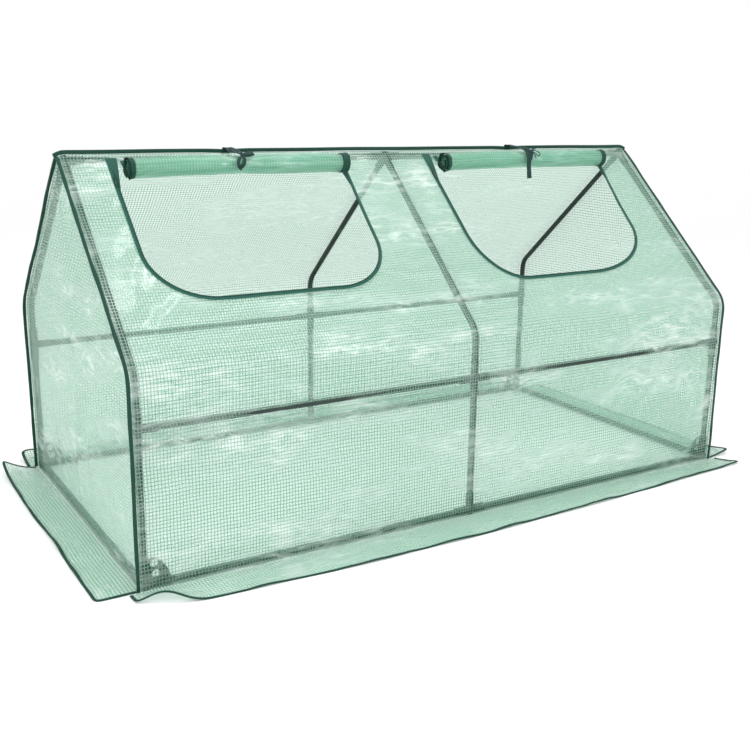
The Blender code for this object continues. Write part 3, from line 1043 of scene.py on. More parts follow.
# ------------------------------------------------------------------ cover
@dataclass
class LongPanel:
    """The front or back panel: wall and roof in one sheet of film, pulled over three hoops."""

    shape: CoverShape
    face: Face
    finishes: Finishes
    windows: list[WindowShape] = field(default_factory=list)
    step: float = 0.0085
    sag: float = 0.0075  # of the roof between two hoops
    bow: float = 0.0050  # of the wall between two hoops
    edge: float = 0.0012  # past the end panels, into the seam
    window_lip: float = 0.0010

    def wander(self, x: np.ndarray, run: np.ndarray, roof: float, total: float) -> np.ndarray:
        """How far the film stands off the frame's outline.

        Args:
            x: place along the ridge.
            run: place up the wall and roof.
            roof: where the roof starts.
            total: where it ends.

        Returns:
            The distance outwards at each place.
        """
        shape = self.shape
        seed = 2.0 if self.face is Face.FRONT else 11.0
        crumple = Crumple(seed=seed, fold_turn=0.75 if self.face is Face.FRONT else -0.5)
        hoops = np.min([np.abs(x - place * shape.half_length) for place in (-1, 0, 1)], axis=0)
        held = eased(hoops, 0.085) * eased(run, 0.05) * eased(total - run, 0.05) * eased(run - roof, 0.045)
        held *= 0.35 + 0.65 * eased(run - (shape.mid - shape.foot), 0.05)
        bay = np.abs(np.sin(math.pi * x / shape.half_length))
        up = np.clip((run - roof) / (total - roof), 0, 1)
        wall = np.clip(run / roof, 0, 1)
        slack = -self.sag * bay * np.sin(math.pi * up) * (run > roof)
        slack = slack + self.bow * bay * np.sin(2 * math.pi * wall) * (run < roof)
        pull = Crumple(0.0, 0.3, 0.0028, 0.030, 0.30, 1.35, 0.0, 0.05, seed + 20).field(x, run)
        near_hoop = np.exp(-(((hoops - 0.07) / 0.06) ** 2))
        return held * (crumple.field(x, run) + pull * near_hoop) + slack

    def opening(self, x: np.ndarray, down: np.ndarray, window: WindowShape) -> tuple[np.ndarray, ...]:
        """Find what a window takes out of the panel's grid.

        Args:
            x: place of each grid point along the ridge.
            down: its place down the roof.
            window: the window.

        Returns:
            Which faces it takes, which points lie on its rim, and the place on its outline nearest to each.
        """
        line = window.outline(self.window_lip)
        near = reach_to(np.stack([x.ravel(), down.ravel()], axis=1), line)[0].reshape(*x.shape, 2)
        middle = np.stack([x[:-1, :-1] + x[1:, 1:], down[:-1, :-1] + down[1:, 1:]], axis=-1) / 2
        cut = reach_to(middle.reshape(-1, 2), line)[1].reshape(middle.shape[:2])
        open_side, film_side = np.zeros(x.shape, bool), np.zeros(x.shape, bool)
        for row, column in ((0, 0), (0, 1), (1, 0), (1, 1)):
            here = slice(row, row + cut.shape[0]), slice(column, column + cut.shape[1])
            open_side[here] |= cut
            film_side[here] |= ~cut
        return cut, open_side & film_side, near

    def build(self) -> bpy.types.Object:
        """Make the panel and dress it in film.

        Returns:
            The panel, on the frame.
        """
        shape, label = self.shape, self.face.name.lower()
        run, points, ways = shape.rows(self.face, shape.cover, self.step)
        end = shape.end + self.edge
        across = np.linspace(-end, end, round(2 * end / self.step) + 1)
        x, along = np.meshgrid(across, run)
        keep = np.ones((len(run) - 1, len(across) - 1), bool)
        apex = run[-1] - shape.cover * math.tan(shape.slope)
        down = apex - along
        for window in self.windows:
            cut, rim, near = self.opening(x, down, window)
            keep &= ~cut
            x, down = np.where(rim, near[..., 0], x), np.where(rim, near[..., 1], down)
            along = np.where(rim, apex - down, along)
        roof = float(run[np.argmax(points[:, 1] >= shape.base + shape.eave_rise)])
        off = self.wander(x, along, roof, float(run[-1]))
        level = [np.interp(along, run, points[:, axis]) for axis in (0, 1)]
        way = [np.interp(along, run, ways[:, axis]) for axis in (0, 1)]
        sheet = np.stack([x, level[0] + way[0] * off, level[1] + way[1] * off], axis=-1)
        shell = Shell()
        shell.add_grid(sheet, np.stack([x, along], axis=-1), keep)
        panel = shell.build(f"{label}_cover_film", self.finishes.long_film)
        settle(panel, "frame", Slot.FILM, f"{label}_panel")
        return panel


@dataclass
class EndPanel:
    """A gable of the cover, cut to the hoop's outline."""

    shape: CoverShape
    side: Side
    finishes: Finishes
    step: float = 0.0095
    crease: float = 0.0045  # depth of the fold it was packed with

    def build(self) -> bpy.types.Object:
        """Make the gable and dress it in film.

        Returns:
            The gable, on the frame.
        """
        shape = self.shape
        path, _ = shape.profile(Face.BACK, shape.cover - shape.film / 2)
        wall = float(path[0, 0])
        across = np.linspace(-wall, wall, round(2 * wall / self.step) + 1)
        top = np.interp(np.abs(across), path[::-1][:-1, 0], path[::-1][:-1, 1])
        share = np.linspace(0, 1, round((path[-1, 1] - shape.foot) / self.step) + 1)
        y, t = np.meshgrid(across, share)
        z = shape.foot + t * (top[None, :] - shape.foot)
        seed = 31.0 if self.side is Side.LEFT else 43.0
        crumple = Crumple(swell=0.0055, fold=0.0022, fold_turn=1.25, seed=seed)
        held = eased(wall - np.abs(y), 0.06) * eased(z - shape.foot, 0.04) * eased(top[None, :] - z, 0.06)
        folded = self.crease * np.exp(-(((y + 0.02 + 0.02 * np.sin(5 * z)) / 0.013) ** 2))
        sag = 0.004 * np.sin(math.pi * np.clip(z / shape.ridge, 0, 1)) * np.cos(math.pi * y / (2 * wall))
        x = self.side.value * (shape.half_length + shape.cover + held * (crumple.field(y, z) + folded) + sag)
        shell = Shell()
        shell.add_grid(np.stack([x, y, z], axis=-1), np.stack([y, z], axis=-1))
        panel = shell.build(f"{self.side.label}_end_film", self.finishes.end_film)
        settle(panel, "frame", Slot.FILM, f"{self.side.label}_end_panel")
        return panel


@dataclass
class SeamBinding:
    """Folded tape sewn over the seam between a gable and the two long panels."""

    shape: CoverShape
    side: Side
    finishes: Finishes
    width: float = 0.012
    thick: float = 0.0036
    gap: float = 0.0005
    step: float = 0.009

    def build(self) -> list[bpy.types.Object]:
        """Make the tape and its stitches.

        Returns:
            The tape and the row of stitches, on the frame.
        """
        shape = self.shape
        front = shape.rows(Face.FRONT, shape.cover, self.step)
        back = shape.rows(Face.BACK, shape.cover, self.step)
        flat = np.vstack([front[1], back[1][::-1][1:]])
        ways = np.vstack([front[2], back[2][::-1][1:]])
        flat, ways = self.rounded(flat, ways)
        run = np.arange(len(flat)) * self.step
        seed = 5.0 * self.side.value
        sway, swing = waver(run, 0.11, seed, 0.0), waver(run, 0.19, seed, 4.0)
        middle = shape.end + self.gap + self.width * 0.42
        x = self.side.value * (middle + 0.0022 * swing)
        off = 0.0024 * sway
        path = np.stack([x, flat[:, 0] + ways[:, 0] * off, flat[:, 1] + ways[:, 1] * off], axis=1)
        ups = np.stack([np.zeros(len(flat)), ways[:, 0], ways[:, 1]], axis=1)
        ease = 0.74 + 0.20 * waver(run, 0.06, seed, 9.0)
        shell = Shell()
        sweep(shell, path, ups, rounded_bar(self.width, self.thick), ease)
        tape = shell.build(f"{self.side.label}_seam_tape", self.finishes.tape)
        settle(tape, "frame", Slot.BINDING, f"{self.side.label}_seam_binding")
        seams = Shell()
        for face in (1, -1):
            inset = path - np.array((self.side.value * self.width * 0.17, 0.0, 0.0))
            stitches(seams, inset + ups * face * self.thick / 2, ups * face)
        thread = seams.build(f"{self.side.label}_seam_stitches", self.finishes.thread)
        settle(thread, "frame", Slot.BINDING)
        return [tape, thread]

    def rounded(self, flat: np.ndarray, ways: np.ndarray) -> tuple[np.ndarray, np.ndarray]:
        """Soften the fold at the ridge.

        Args:
            flat: the seam's points.
            ways: the outward direction at each.

        Returns:
            The softened points and directions.
        """
        for _ in range(3):
            for rows in (flat, ways):
                rows[1:-1] = (rows[:-2] + 2 * rows[1:-1] + rows[2:]) / 4
        return flat, unit(ways)


@dataclass
class RidgeBinding:
    """Folded tape that stands along the ridge seam, pulled down a little at the ties."""

    shape: CoverShape
    ties: list[float]
    finishes: Finishes
    height: float = 0.010
    thick: float = 0.0030
    gap: float = 0.0005
    overhang: float = 0.012
    end_bend: float = 0.024  # length of each end that is bent down

    def build(self) -> list[bpy.types.Object]:
        """Make the tape and its stitches.

        Returns:
            The tape and the row of stitches, on the frame.
        """
        shape = self.shape
        reach = shape.end + self.gap + self.overhang
        x = np.linspace(-reach, reach, 190)
        low = shape.ridge + shape.film_out / math.cos(shape.slope) + self.gap
        sway, lift = waver(x, 0.17, 2.0, 0.0), waver(x, 0.23, 8.0, 0.0)
        dip = sum(np.exp(-(((x - tie) / 0.035) ** 2)) for tie in self.ties)
        bent = np.clip((np.abs(x) - reach + self.end_bend) / self.end_bend, 0, 1) ** 1.6
        z = low + self.height / 2 - 0.0008 + 0.0010 * lift - 0.0018 * dip - 0.0085 * bent
        path = np.stack([x, 0.0016 * sway, z], axis=1)
        shell = Shell()
        sweep(shell, path, (0.0, -1.0, 0.0), rounded_bar(self.height, self.thick))
        tape = shell.build("ridge_tape", self.finishes.tape)
        settle(tape, "frame", Slot.BINDING, "ridge_binding")
        seams = Shell()
        for face in (-1, 1):
            row = path + np.array((0.0, face * self.thick / 2, -self.height * 0.2))
            stitches(seams, row, (0.0, float(face), 0.0))
        thread = seams.build("ridge_stitches", self.finishes.thread)
        settle(thread, "frame", Slot.BINDING)
        return [tape, thread]


@dataclass(frozen=True)
class Curl:
    """A place where a skirt's free edge stands up off the floor."""

    along: float
    reach: float
    height: float

    def rise(self, along: np.ndarray) -> np.ndarray:
        """The height of the free edge at places along it."""
        return self.height * np.exp(-(((along - self.along) / self.reach) ** 2))


@dataclass
class GroundSkirt:
    """A flap of film that lies on the floor along one side, bound along its free edges."""

    shape: CoverShape
    name: str
    turn: int  # quarter turns from the front
    finishes: Finishes
    curls: tuple[Curl, ...] = ()
    bulge: float = 0.0  # how much wider it was cut about its middle than at its ends
    taper: float = 0.0  # share of its width lost at its left end
    splay: float = 0.0  # how far its right outer corner points out
    step: float = 0.0095
    wave: float = 0.0075  # height of the waves of its free edge
    lift: float = 0.0006
    tape: float = 0.0075
    tape_thick: float = 0.0028
    waves: tuple[tuple[float, float], ...] = ((0.21, 0.0), (0.085, 3.0))  # size, and which noise
    seed: float = 0.0
    bend_reach: float = 0.150  # a lifted flap curves up over this much of its width

    def height(self, along: np.ndarray, share: np.ndarray) -> np.ndarray:
        """The height of the flap above the floor.

        Args:
            along: place along the fold.
            share: distance from the fold as a share of the flap's width.

        Returns:
            The height at each place.
        """
        wave = np.array([self.ripple(float(a)) for a in along.ravel()]).reshape(along.shape)
        crumple = Crumple(0.0, 0.3, 0.0010, 0.03, 0.11, 1.4, 0.0006, 0.04, self.seed + 5)
        fine = crumple.field(along, 0.1 * share)
        rise = self.wave * share**1.6 * wave + np.maximum(fine, -0.0001) * eased(share, 0.3)
        for curl in self.curls:
            rise = rise + curl.rise(along) * share**1.8
        return self.lift + rise

    def ripple(self, along: float) -> float:
        """How high the free edge stands at a place along it, from 0 to about 1."""
        long_wave, short_wave = (noise.noise((along / size, self.seed, pick)) for size, pick in self.waves)
        return max(0.0, 0.30 + long_wave + 0.5 * short_wave)

    def widths(self, along: np.ndarray, width: float, half: float) -> np.ndarray:
        """How far the flap reaches from its fold.

        Args:
            along: places along the fold.
            width: its width in the middle of the range.
            half: half its length.

        Returns:
            The width at each place.
        """
        bulge = self.bulge * (np.cos(math.pi * (along / half + 0.2) / 2) - 0.5)
        taper = 1 - self.taper * np.exp(-(((along + half) / 0.08) ** 2))
        sway = 0.004 * waver(along, 0.26, self.seed, 6.0)
        return (width + bulge + sway - 0.004) * taper

    def build(self) -> bpy.types.Object:
        """Make the flap, its edge tape and stitches.

        Returns:
            The flap of film.
        """
        shape = self.shape
        low, high = (Vector(corner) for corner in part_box(self.name))
        spin = Matrix.Rotation(self.turn * math.pi / 2, 3, "Z")
        corners = [spin.inverted() @ low, spin.inverted() @ high]
        left, right = min(c.x for c in corners), max(c.x for c in corners)
        fold, outer = max(c.y for c in corners), min(c.y for c in corners)
        wall = -(shape.half_depth if self.turn % 2 == 0 else shape.half_length) - shape.cover
        hem = abs(wall - fold)
        inset, count = self.tape_thick, round((right - left) / self.step) + 1
        along = np.linspace(left + inset, right - inset, count)
        reach = self.widths(along, fold - outer, right)
        share = np.linspace(0, 1, 13)
        a, s = np.meshgrid(along, share)
        out = s * (reach - self.tape / 2)[None, :]
        tip = self.splay * s**1.4 * eased(np.maximum(a - right + 0.16, 0), 0.16)
        sheet = np.stack([a + tip, fold - out, self.height(a, s)], axis=-1)
        level = np.ones_like(along)
        rows = [
            np.stack([along, level * (fold + hem * part), level * (part * shape.foot + self.lift)], axis=1)
            for part in (1, 0.5)
        ]
        sheet = np.concatenate([np.array(rows), sheet])
        runs = np.concatenate([[np.full_like(along, -hem), np.full_like(along, -hem / 2)], out])
        turned = sheet @ np.array(spin.transposed())
        shell = Shell()
        shell.add_grid(turned, np.stack([np.broadcast_to(along, runs.shape), runs], axis=-1))
        film = shell.build(f"{self.name}_film", self.finishes.film)
        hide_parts(self.name)
        tape, thread = self.bind(turned[2:])
        for piece in (film, tape, thread):
            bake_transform(piece)
        return film

    def bind(self, sheet: np.ndarray) -> tuple[bpy.types.Object, bpy.types.Object]:
        """Sew tape round the three free edges of the flap.

        Args:
            sheet: the flap's points from its fold outwards.

        Returns:
            The tape and its stitches.
        """
        rim = np.vstack([sheet[1:, 0], sheet[-1, 1:-1], sheet[1:, -1][::-1]])
        path = resampled(rim, 0.008)
        for _ in range(2):
            path[1:-1] = (path[:-2] + 2 * path[1:-1] + path[2:]) / 4
        path[:, 2] = np.maximum(path[:, 2], self.tape_thick / 2 + 0.0002)
        places = [(float(x) / 0.11, float(y) / 0.11, self.seed) for x, y, _ in path]
        uneven = 1 + 0.35 * np.array([noise.noise(place) for place in places])
        shell = Shell()
        sweep(shell, path, (0.0, 0.0, 1.0), rounded_bar(self.tape, self.tape_thick), uneven)
        tape = shell.build(f"{self.name}_edge_tape", self.finishes.tape)
        seams = Shell()
        stitches(seams, path + np.array((0.0, 0.0, self.tape_thick / 2)), (0.0, 0.0, 1.0))
        thread = seams.build(f"{self.name}_stitches", self.finishes.thread)
        return tape, thread


# ------------------------------------------------------------------ doors
@dataclass
class RollUpDoor:
    """One window's zip, slider, rolled door and tie."""

    shape: CoverShape
    window: WindowShape
    finishes: Finishes
    tape_rise: float = 0.00075  # middle of the zip tape above the outside of the film
    tape_thick: float = 0.0011
    tape_width: float = 0.0092
    tape_top_width: float = 0.027
    coil: float = 0.0017
    coil_pitch: float = 0.0032
    door_start: float = 0.016  # top edge of the door cloth
    roll_down: float = 0.060
    roll_radius: float = 0.0275
    roll_pitch: float = 0.0048
    turns: float = 3.5
    left: float = 0.280  # the door's widths to either side of the window's middle
    right: float = 0.302
    right_band: float = 0.017  # width of the dark tape that shows at the roll's right end
    hem_width: float = 0.016
    hem_thick: float = 0.0012
    rest_gap: float = 0.0022  # the roll's lowest layer above the middle of the hanging cloth
    saddle_width: float = 0.021
    keep: float = 0.74  # width of the lowered roll, which ends where the window narrows

    @property
    def label(self) -> str:
        """The word that the door's node names begin with."""
        return self.window.side.label

    @property
    def tape_level(self) -> float:
        """The middle of the zip tape above the centre line of a tube."""
        return self.shape.film_out + self.tape_rise

    @property
    def door_level(self) -> float:
        """The middle of the door cloth above the centre line of a tube."""
        return self.shape.film_out + 0.00195

    @property
    def roll_centre(self) -> np.ndarray:
        """The middle of the roll."""
        level = self.door_level + self.shape.film / 2 + 0.0005 + self.roll_radius
        return self.shape.on_roof(self.window.middle, self.roll_down, level)

    @property
    def travel(self) -> float:
        """How far the roll comes down."""
        joints = {joint["name"]: joint for joint in frame["record"]["behaviour"]["joints"]}
        return float(joints[f"{self.label}_door_lower"]["range_m"][1])

    def on_slope(self, flat: np.ndarray, level: float) -> np.ndarray:
        """Set flat places on the roof.

        Args:
            flat: places (x, down).
            level: how high above the tubes' centre line they go.

        Returns:
            The places in space.
        """
        shape = self.shape
        return (
            np.array((0.0, 0.0, shape.ridge))
            + flat[:, :1] * np.array((1.0, 0.0, 0.0))
            + flat[:, 1:] * shape.down
            + level * shape.out
        )

    def build(self) -> None:
        """Make every piece of the door."""
        self.build_zip()
        self.build_slider()
        self.build_cloth()
        self.build_roll()
        self.build_tie()

    def build_zip(self) -> None:
        """The fixed half of the zip: tape round the U, wide at the ridge, with its coil."""
        window, level = self.window, self.tape_level
        line = resampled(window.outline(-0.001, start=0.006), 0.006)
        spread = np.clip((0.118 - line[:, 1]) / 0.10, 0, 1) ** 0.9
        width = self.tape_width + (self.tape_top_width - self.tape_width) * spread
        inward = np.where(line[:, 0] < window.middle, 1.0, -1.0)
        tangent = unit(np.gradient(line, axis=0))
        away = np.stack([-tangent[:, 1], tangent[:, 0]], axis=1)
        away *= np.sign((away * (line - (window.middle, 0.18))).sum(axis=1, keepdims=True))
        middle = line + away * (self.tape_width / 2 - 0.001)
        middle[:, 0] += inward * (width - self.tape_width) / 2
        sway = waver(np.arange(len(line)), 20.0, 1.0, 5.0)
        path = self.on_slope(middle, level) + self.shape.out * (0.0002 * sway[:, None])
        section = rounded_bar(self.tape_width, self.tape_thick)
        shell = Shell()
        sweep(shell, path, self.shape.out, section, width / self.tape_width)
        tape = shell.build(f"{self.label}_zip_band", self.finishes.zip_tape)
        settle(tape, "frame", Slot.ZIP, f"{self.label}_zip_tape")
        rows = Shell()
        outer = self.on_slope(middle + away * self.tape_width * 0.30, level + self.tape_thick / 2)
        stitches(rows, outer, self.shape.out, 0.0045)
        thread = rows.build(f"{self.label}_zip_stitches", self.finishes.thread)
        settle(thread, "frame", Slot.ZIP)
        self.build_coil()

    def build_coil(self) -> None:
        """The zip's coil along the inner edge of its tape."""
        window, level = self.window, self.tape_level
        teeth = Shell()
        edge = resampled(window.outline(-0.0015), self.coil_pitch / 4)
        swell = 1 + 0.28 * np.sin(np.arange(len(edge)) * math.pi / 2)
        centre = self.on_slope(edge, level + self.tape_thick / 2 + self.coil * 0.25)
        angles = np.linspace(0, 2 * math.pi, 6, endpoint=False)
        ring = np.stack([np.cos(angles), np.sin(angles) * 0.62], axis=1) * self.coil
        sweep(teeth, centre, self.shape.out, ring, swell, swell)
        coil = teeth.build(f"{self.label}_zip_coil", self.finishes.coil)
        settle(coil, "frame", Slot.ZIP)

    def build_slider(self) -> None:
        """The slider: a waisted body with a raised bridge, and a pull that hangs from it."""
        name = f"{self.label}_zip_slider"
        low, high = (np.array(corner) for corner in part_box(name))
        x = float((low[0] + high[0]) / 2)
        down, level = 0.078, self.tape_level + self.tape_thick / 2 + 0.0021
        shape = self.shape
        body = Shell()
        rows = [(-0.0075, 0.62), (-0.0060, 0.92), (-0.0020, 1.0)]  # place up the slope, share of the width
        rows += [(0.0015, 0.74), (0.0055, 0.66), (0.0070, 0.50)]
        path = np.array([shape.on_roof(x, down - place, level) for place, _ in rows])
        widths = np.array([share for _, share in rows])
        sweep(body, path, shape.out, rounded_bar(0.0090, 0.0030, 4), widths, np.linspace(0.9, 1.0, len(rows)))
        arch = [(-0.0050, 0.0012), (-0.0040, 0.0030), (0.0, 0.0038), (0.0040, 0.0030), (0.0050, 0.0012)]
        bridge = smoothed([shape.on_roof(x, down - a, level + b) for a, b in arch], 0.0008)
        sweep(body, bridge, (1.0, 0.0, 0.0), rounded_bar(0.0011, 0.0022, 3))
        hang = [(0.0010, 0.0026), (0.0050, 0.0034), (0.0120, 0.0024), (0.0215, 0.0012)]
        pull = smoothed([shape.on_roof(x, down + a, level + b) for a, b in hang], 0.0010)
        share = np.linspace(0, 1, len(pull))
        rounding = 0.35 * np.clip((share - 0.86) / 0.14, 0, 1) ** 2
        wide = 0.62 + 0.38 * np.clip(share * 1.6, 0, 1) - rounding
        sweep(body, pull, shape.out, rounded_bar(0.0062, 0.0014, 3), wide)
        rib = [shape.on_roof(x, down + a, level + 0.0030) for a in (0.0135, 0.0150, 0.0165, 0.0180)]
        for place in rib:
            bar = place + np.array([[-0.0018, 0.0, 0.0], [0.0, 0.0, 0.0], [0.0018, 0.0, 0.0]])
            sweep(body, bar - shape.out * 0.0008, shape.out, rounded_bar(0.0007, 0.0007, 3))
        slider = body.build(f"{self.label}_slider_body", self.finishes.slider)
        settle(slider, name, Slot.ZIP, name)

    def lowered(self, share: float) -> float:
        """How far down a place on the cloth lies when the roll is down, by its share of the way at rest."""
        ease = share * share * (3 - 2 * share)
        return (self.roll_down - self.door_start) * share + self.travel * ease

    def build_cloth(self) -> None:
        """The part of the door that hangs from the ridge, gathered at rest, and its edge tapes."""
        shape, window, travel = self.shape, self.window, self.travel
        length = self.roll_down - self.door_start + travel
        shares = np.linspace(0, 1, 2001)
        laid = np.array([self.lowered(float(s)) for s in shares])
        runs = np.linspace(0, length, 64)
        rest = np.interp(runs, laid, shares)
        down = self.door_start + rest * (self.roll_down - self.door_start)
        edges = np.array([window.half_widths(self.door_start + float(run)) for run in runs]) - 0.008
        drawn_in = 1 - (1 - self.keep) * (runs / length) ** 4
        lefts = np.minimum(edges[:, 0], self.left * drawn_in)
        rights = np.minimum(edges[:, 1], self.right * drawn_in)
        span = np.linspace(0, 1, 61)
        x = window.middle - lefts[:, None] + (lefts + rights)[:, None] * span[None, :]
        d = np.repeat(down[:, None], len(span), axis=1)
        flat = np.stack([x.ravel(), d.ravel()], axis=1)
        ripple = np.array([noise.noise((float(a) / 0.06, float(b) / 0.012, 21.0)) for a, b in flat])
        slack = 0.0012 * ripple * np.sin(math.pi * np.clip(np.repeat(rest, len(span)) * 1.6, 0, 1))
        sheet = self.on_slope(flat, self.door_level) + shape.out * np.abs(slack)[:, None]
        cloth = np.stack([x, np.repeat(runs[:, None], len(span), axis=1)], axis=-1)
        shell = Shell()
        shell.add_grid(sheet.reshape(*x.shape, 3), cloth)
        door = shell.build(f"{self.label}_door_cloth", self.finishes.wound_film)
        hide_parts(f"{self.label}_door_sheet")
        hems = Shell()
        for side, halves in ((-1, lefts), (1, rights)):
            ring = []
            for across, rise in rounded_bar(self.hem_width, self.hem_thick):
                line = np.stack([window.middle + side * (halves - 0.004) + across, down], axis=1)
                ring.append(self.on_slope(line, self.door_level + 0.0008 + rise))
            round_it = np.linspace(0, 2 * self.hem_width, len(ring) + 1)
            marks = np.stack(np.broadcast_arrays(runs[:, None], round_it[None, :]), axis=-1)
            hems.add_grid(np.array(ring).transpose(1, 0, 2), marks, closed=True)
        tapes = hems.build(f"{self.label}_door_edge_tapes", self.finishes.zip_tape)
        start = shape.on_roof(window.middle, self.door_start, self.door_level)
        end = shape.on_roof(window.middle, self.roll_down, self.door_level)
        for piece in (door, tapes):
            f"{self.label}_door_carriage"
            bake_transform(piece)

    def spiral(self, swell: float = 0.0) -> tuple[np.ndarray, np.ndarray, np.ndarray]:
        """The wound cloth seen from its end.

        Args:
            swell: how far outside the cloth.

        Returns:
            The angle, the radius and the cloth's run at each step.
        """
        turn = np.linspace(0, self.turns, round(self.turns * 30) + 1)
        radius = self.roll_radius - self.shape.film / 2 - self.roll_pitch * turn + swell
        angle = self.shape.slope - math.pi / 2 - 2 * math.pi * turn
        run = np.concatenate([[0], np.cumsum(np.abs(np.diff(angle)) * (radius[1:] + radius[:-1]) / 2)])
        return angle, radius, run

    def droop(self, x: float) -> float:
        """How far the roll hangs down at its heavy left end."""
        return 0.0050 * max(0.0, -(x + 0.08) / 0.20) ** 2

    def slack(self, x: float, angle: float, turn: float) -> float:
        """How far the wound cloth stands off a true spiral: looser away from the tie.

        Args:
            x: place along the roll.
            angle: place round it, in radians.
            turn: how many turns in from its skin.

        Returns:
            The distance outwards.
        """
        waist = -0.0045 * math.exp(-((x / 0.045) ** 2))
        across, up = math.cos(angle), math.sin(angle)
        fold = 0.0030 * noise.noise((x / 0.15, 2.6 * across, 2.6 * up + 3 * turn))
        fine = 0.0007 * noise.noise((x / 0.022, 5 * across, 5 * up + 5 * turn))
        return waist + fold + fine - 0.0012

    def build_roll(self) -> None:
        """The rolled cloth and the zip tape wound up with it at either end."""
        angle, radius, run = self.spiral()
        centre, label = self.roll_centre, self.label
        span = np.linspace(-self.left, self.right, 76)
        rows = []
        turn = np.linspace(0, self.turns, len(angle))
        for a, r, t in zip(angle, radius, turn):
            loose = min(1.0, float(t) * 3 + 0.2)
            row = []
            for x in span:
                reach = r + self.slack(float(x), float(a), float(t)) * loose
                y, z = centre[1] + reach * math.cos(a), centre[2] + reach * math.sin(a) - self.droop(x)
                row.append((centre[0] + x, y, z))
            rows.append(row)
        cloth = np.stack(np.broadcast_arrays(span[None, :], run[:, None]), axis=-1)
        shell = Shell()
        shell.add_grid(self.rested(np.array(rows)), cloth)
        roll = shell.build(f"{label}_rolled_cloth", self.finishes.wound_film)
        settle(roll, f"{label}_door_roll", Slot.FILM, f"{label}_door_roll")
        bands = Shell()
        for side, half, band in ((-1, self.left, 0.0125), (1, self.right, self.right_band)):
            edge = side * (half + 0.002 - band), side * (half + 0.002)
            grid = []
            for share in np.linspace(0, 1, 6):
                place = edge[0] + (edge[1] - edge[0]) * share
                drift = side * (0.0035 * np.sin(turn * 2.1 + side) * share + 0.0012 * turn)
                lift = radius + 0.0007 + 0.0016 * share**2 * (turn < 1)
                sag = np.array([self.slack(place, float(a), float(t)) for a, t in zip(angle, turn)])
                reach = lift + sag * np.minimum(1.0, turn * 3 + 0.2)
                y = centre[1] + reach * np.cos(angle)
                z = centre[2] + reach * np.sin(angle) - self.droop(place)
                grid.append(np.stack([centre[0] + place + drift, y, z], axis=1))
            grid = self.rested(np.array(grid).transpose(1, 0, 2))
            width = np.linspace(0, band, 6)
            bands.add_grid(grid, np.stack(np.broadcast_arrays(run[:, None], width[None, :]), axis=-1))
        band = bands.build(f"{label}_roll_end_tapes", self.finishes.tape)
        thick = band.modifiers.new("thickness", "SOLIDIFY")
        thick.thickness = 0.0010
        thick.offset = 0.0
        self.apply_modifiers(band)
        settle(band, f"{label}_door_roll", Slot.ZIP)
        for piece in (roll, band):
            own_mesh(piece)

    def rested(self, points: np.ndarray) -> np.ndarray:
        """The wound cloth flattened where it lies on the zip and the door.

        Args:
            points: places on the roll, in rows.

        Returns:
            The same places, none of them lower than the roll may lie.
        """
        apex = np.array((0.0, 0.0, self.shape.ridge))
        level = (points - apex) @ self.shape.out
        short = np.maximum(self.door_level + self.rest_gap - level, 0.0)
        return points + short[..., None] * self.shape.out

    @staticmethod
    def apply_modifiers(piece: bpy.types.Object) -> None:
        """Turn a piece's modifiers into its mesh.

        Args:
            piece: the piece, which keeps its place and its materials.
        """
        bpy.context.view_layer.update()
        shaped = piece.evaluated_get(bpy.context.evaluated_depsgraph_get())
        mesh = bpy.data.meshes.new_from_object(shaped)
        piece.modifiers.clear()
        piece.data = mesh

    def on_roll(self, x: float, angle: float, lift: float) -> np.ndarray:
        """A place round the roll.

        Args:
            x: place along it from the window's middle.
            angle: degrees round it from +Y towards +Z.
            lift: height off its skin.

        Returns:
            The place in space.
        """
        centre, reach = self.roll_centre, self.roll_radius + lift
        turn = math.radians(angle)
        return centre + np.array((x, reach * math.cos(turn), reach * math.sin(turn)))

    def round_roll(self, *places: Point) -> list[np.ndarray]:
        """Places round the roll, each as (along, degrees, lift)."""
        return [self.on_roll(*place) for place in places]

    def ribbon(self, shell: Shell, path: Sequence[np.ndarray], widths: Sequence[float]) -> None:
        """Lay a ribbon of the tie along a path, its face away from the roll.

        Args:
            shell: where the faces go.
            path: points on its way.
            widths: its width at even steps of the way.
        """
        line = smoothed([tuple(point) for point in path], 0.0022)
        ups = line - self.roll_centre
        ups[:, 0] = 0.0
        wide = np.interp(np.linspace(0, 1, len(line)), np.linspace(0, 1, len(widths)), widths)
        sweep(shell, line, unit(ups), rounded_bar(1.0, self.tape_thick), wide)

    def build_tie(self) -> None:
        """The ribbon that comes off the ridge, crosses the roll and is tied on its front."""
        shape, name = self.shape, f"{self.label}_roll_tie"
        hinge = shape.ridge + shape.film_out / math.cos(shape.slope) + 0.0005 + 0.010 + 0.0012
        start = np.array((self.window.middle, 0.0, hinge))
        self.build_saddle(hinge)
        shell = Shell()
        if self.window.side is Side.LEFT:
            self.left_tie(shell, start)
        else:
            self.right_tie(shell, start)
        tie = shell.build(f"{self.label}_tie_ribbon", self.finishes.ribbon)
        settle(tie, name, Slot.BINDING, name)

    def build_saddle(self, hinge: float) -> None:
        """The part of the tie that is sewn down over the ridge tape.

        Args:
            hinge: the height at which the rest of the tie turns over the ridge.
        """
        side, low, middle = 0.0026, hinge - 0.0105, hinge - 0.0060
        bend = hinge - 0.0028
        fold = [(-side, low), (-side, bend), (0.0, hinge - 0.0004), (side, bend), (side, low)]
        line = smoothed([(self.window.middle, y, z) for y, z in fold], 0.0012)
        ups = unit(line - np.array((self.window.middle, 0.0, middle)))
        shell = Shell()
        sweep(shell, line, ups, rounded_bar(self.saddle_width, self.tape_thick))
        saddle = shell.build(f"{self.label}_tie_saddle", self.finishes.ribbon)
        settle(saddle, "frame", Slot.BINDING)

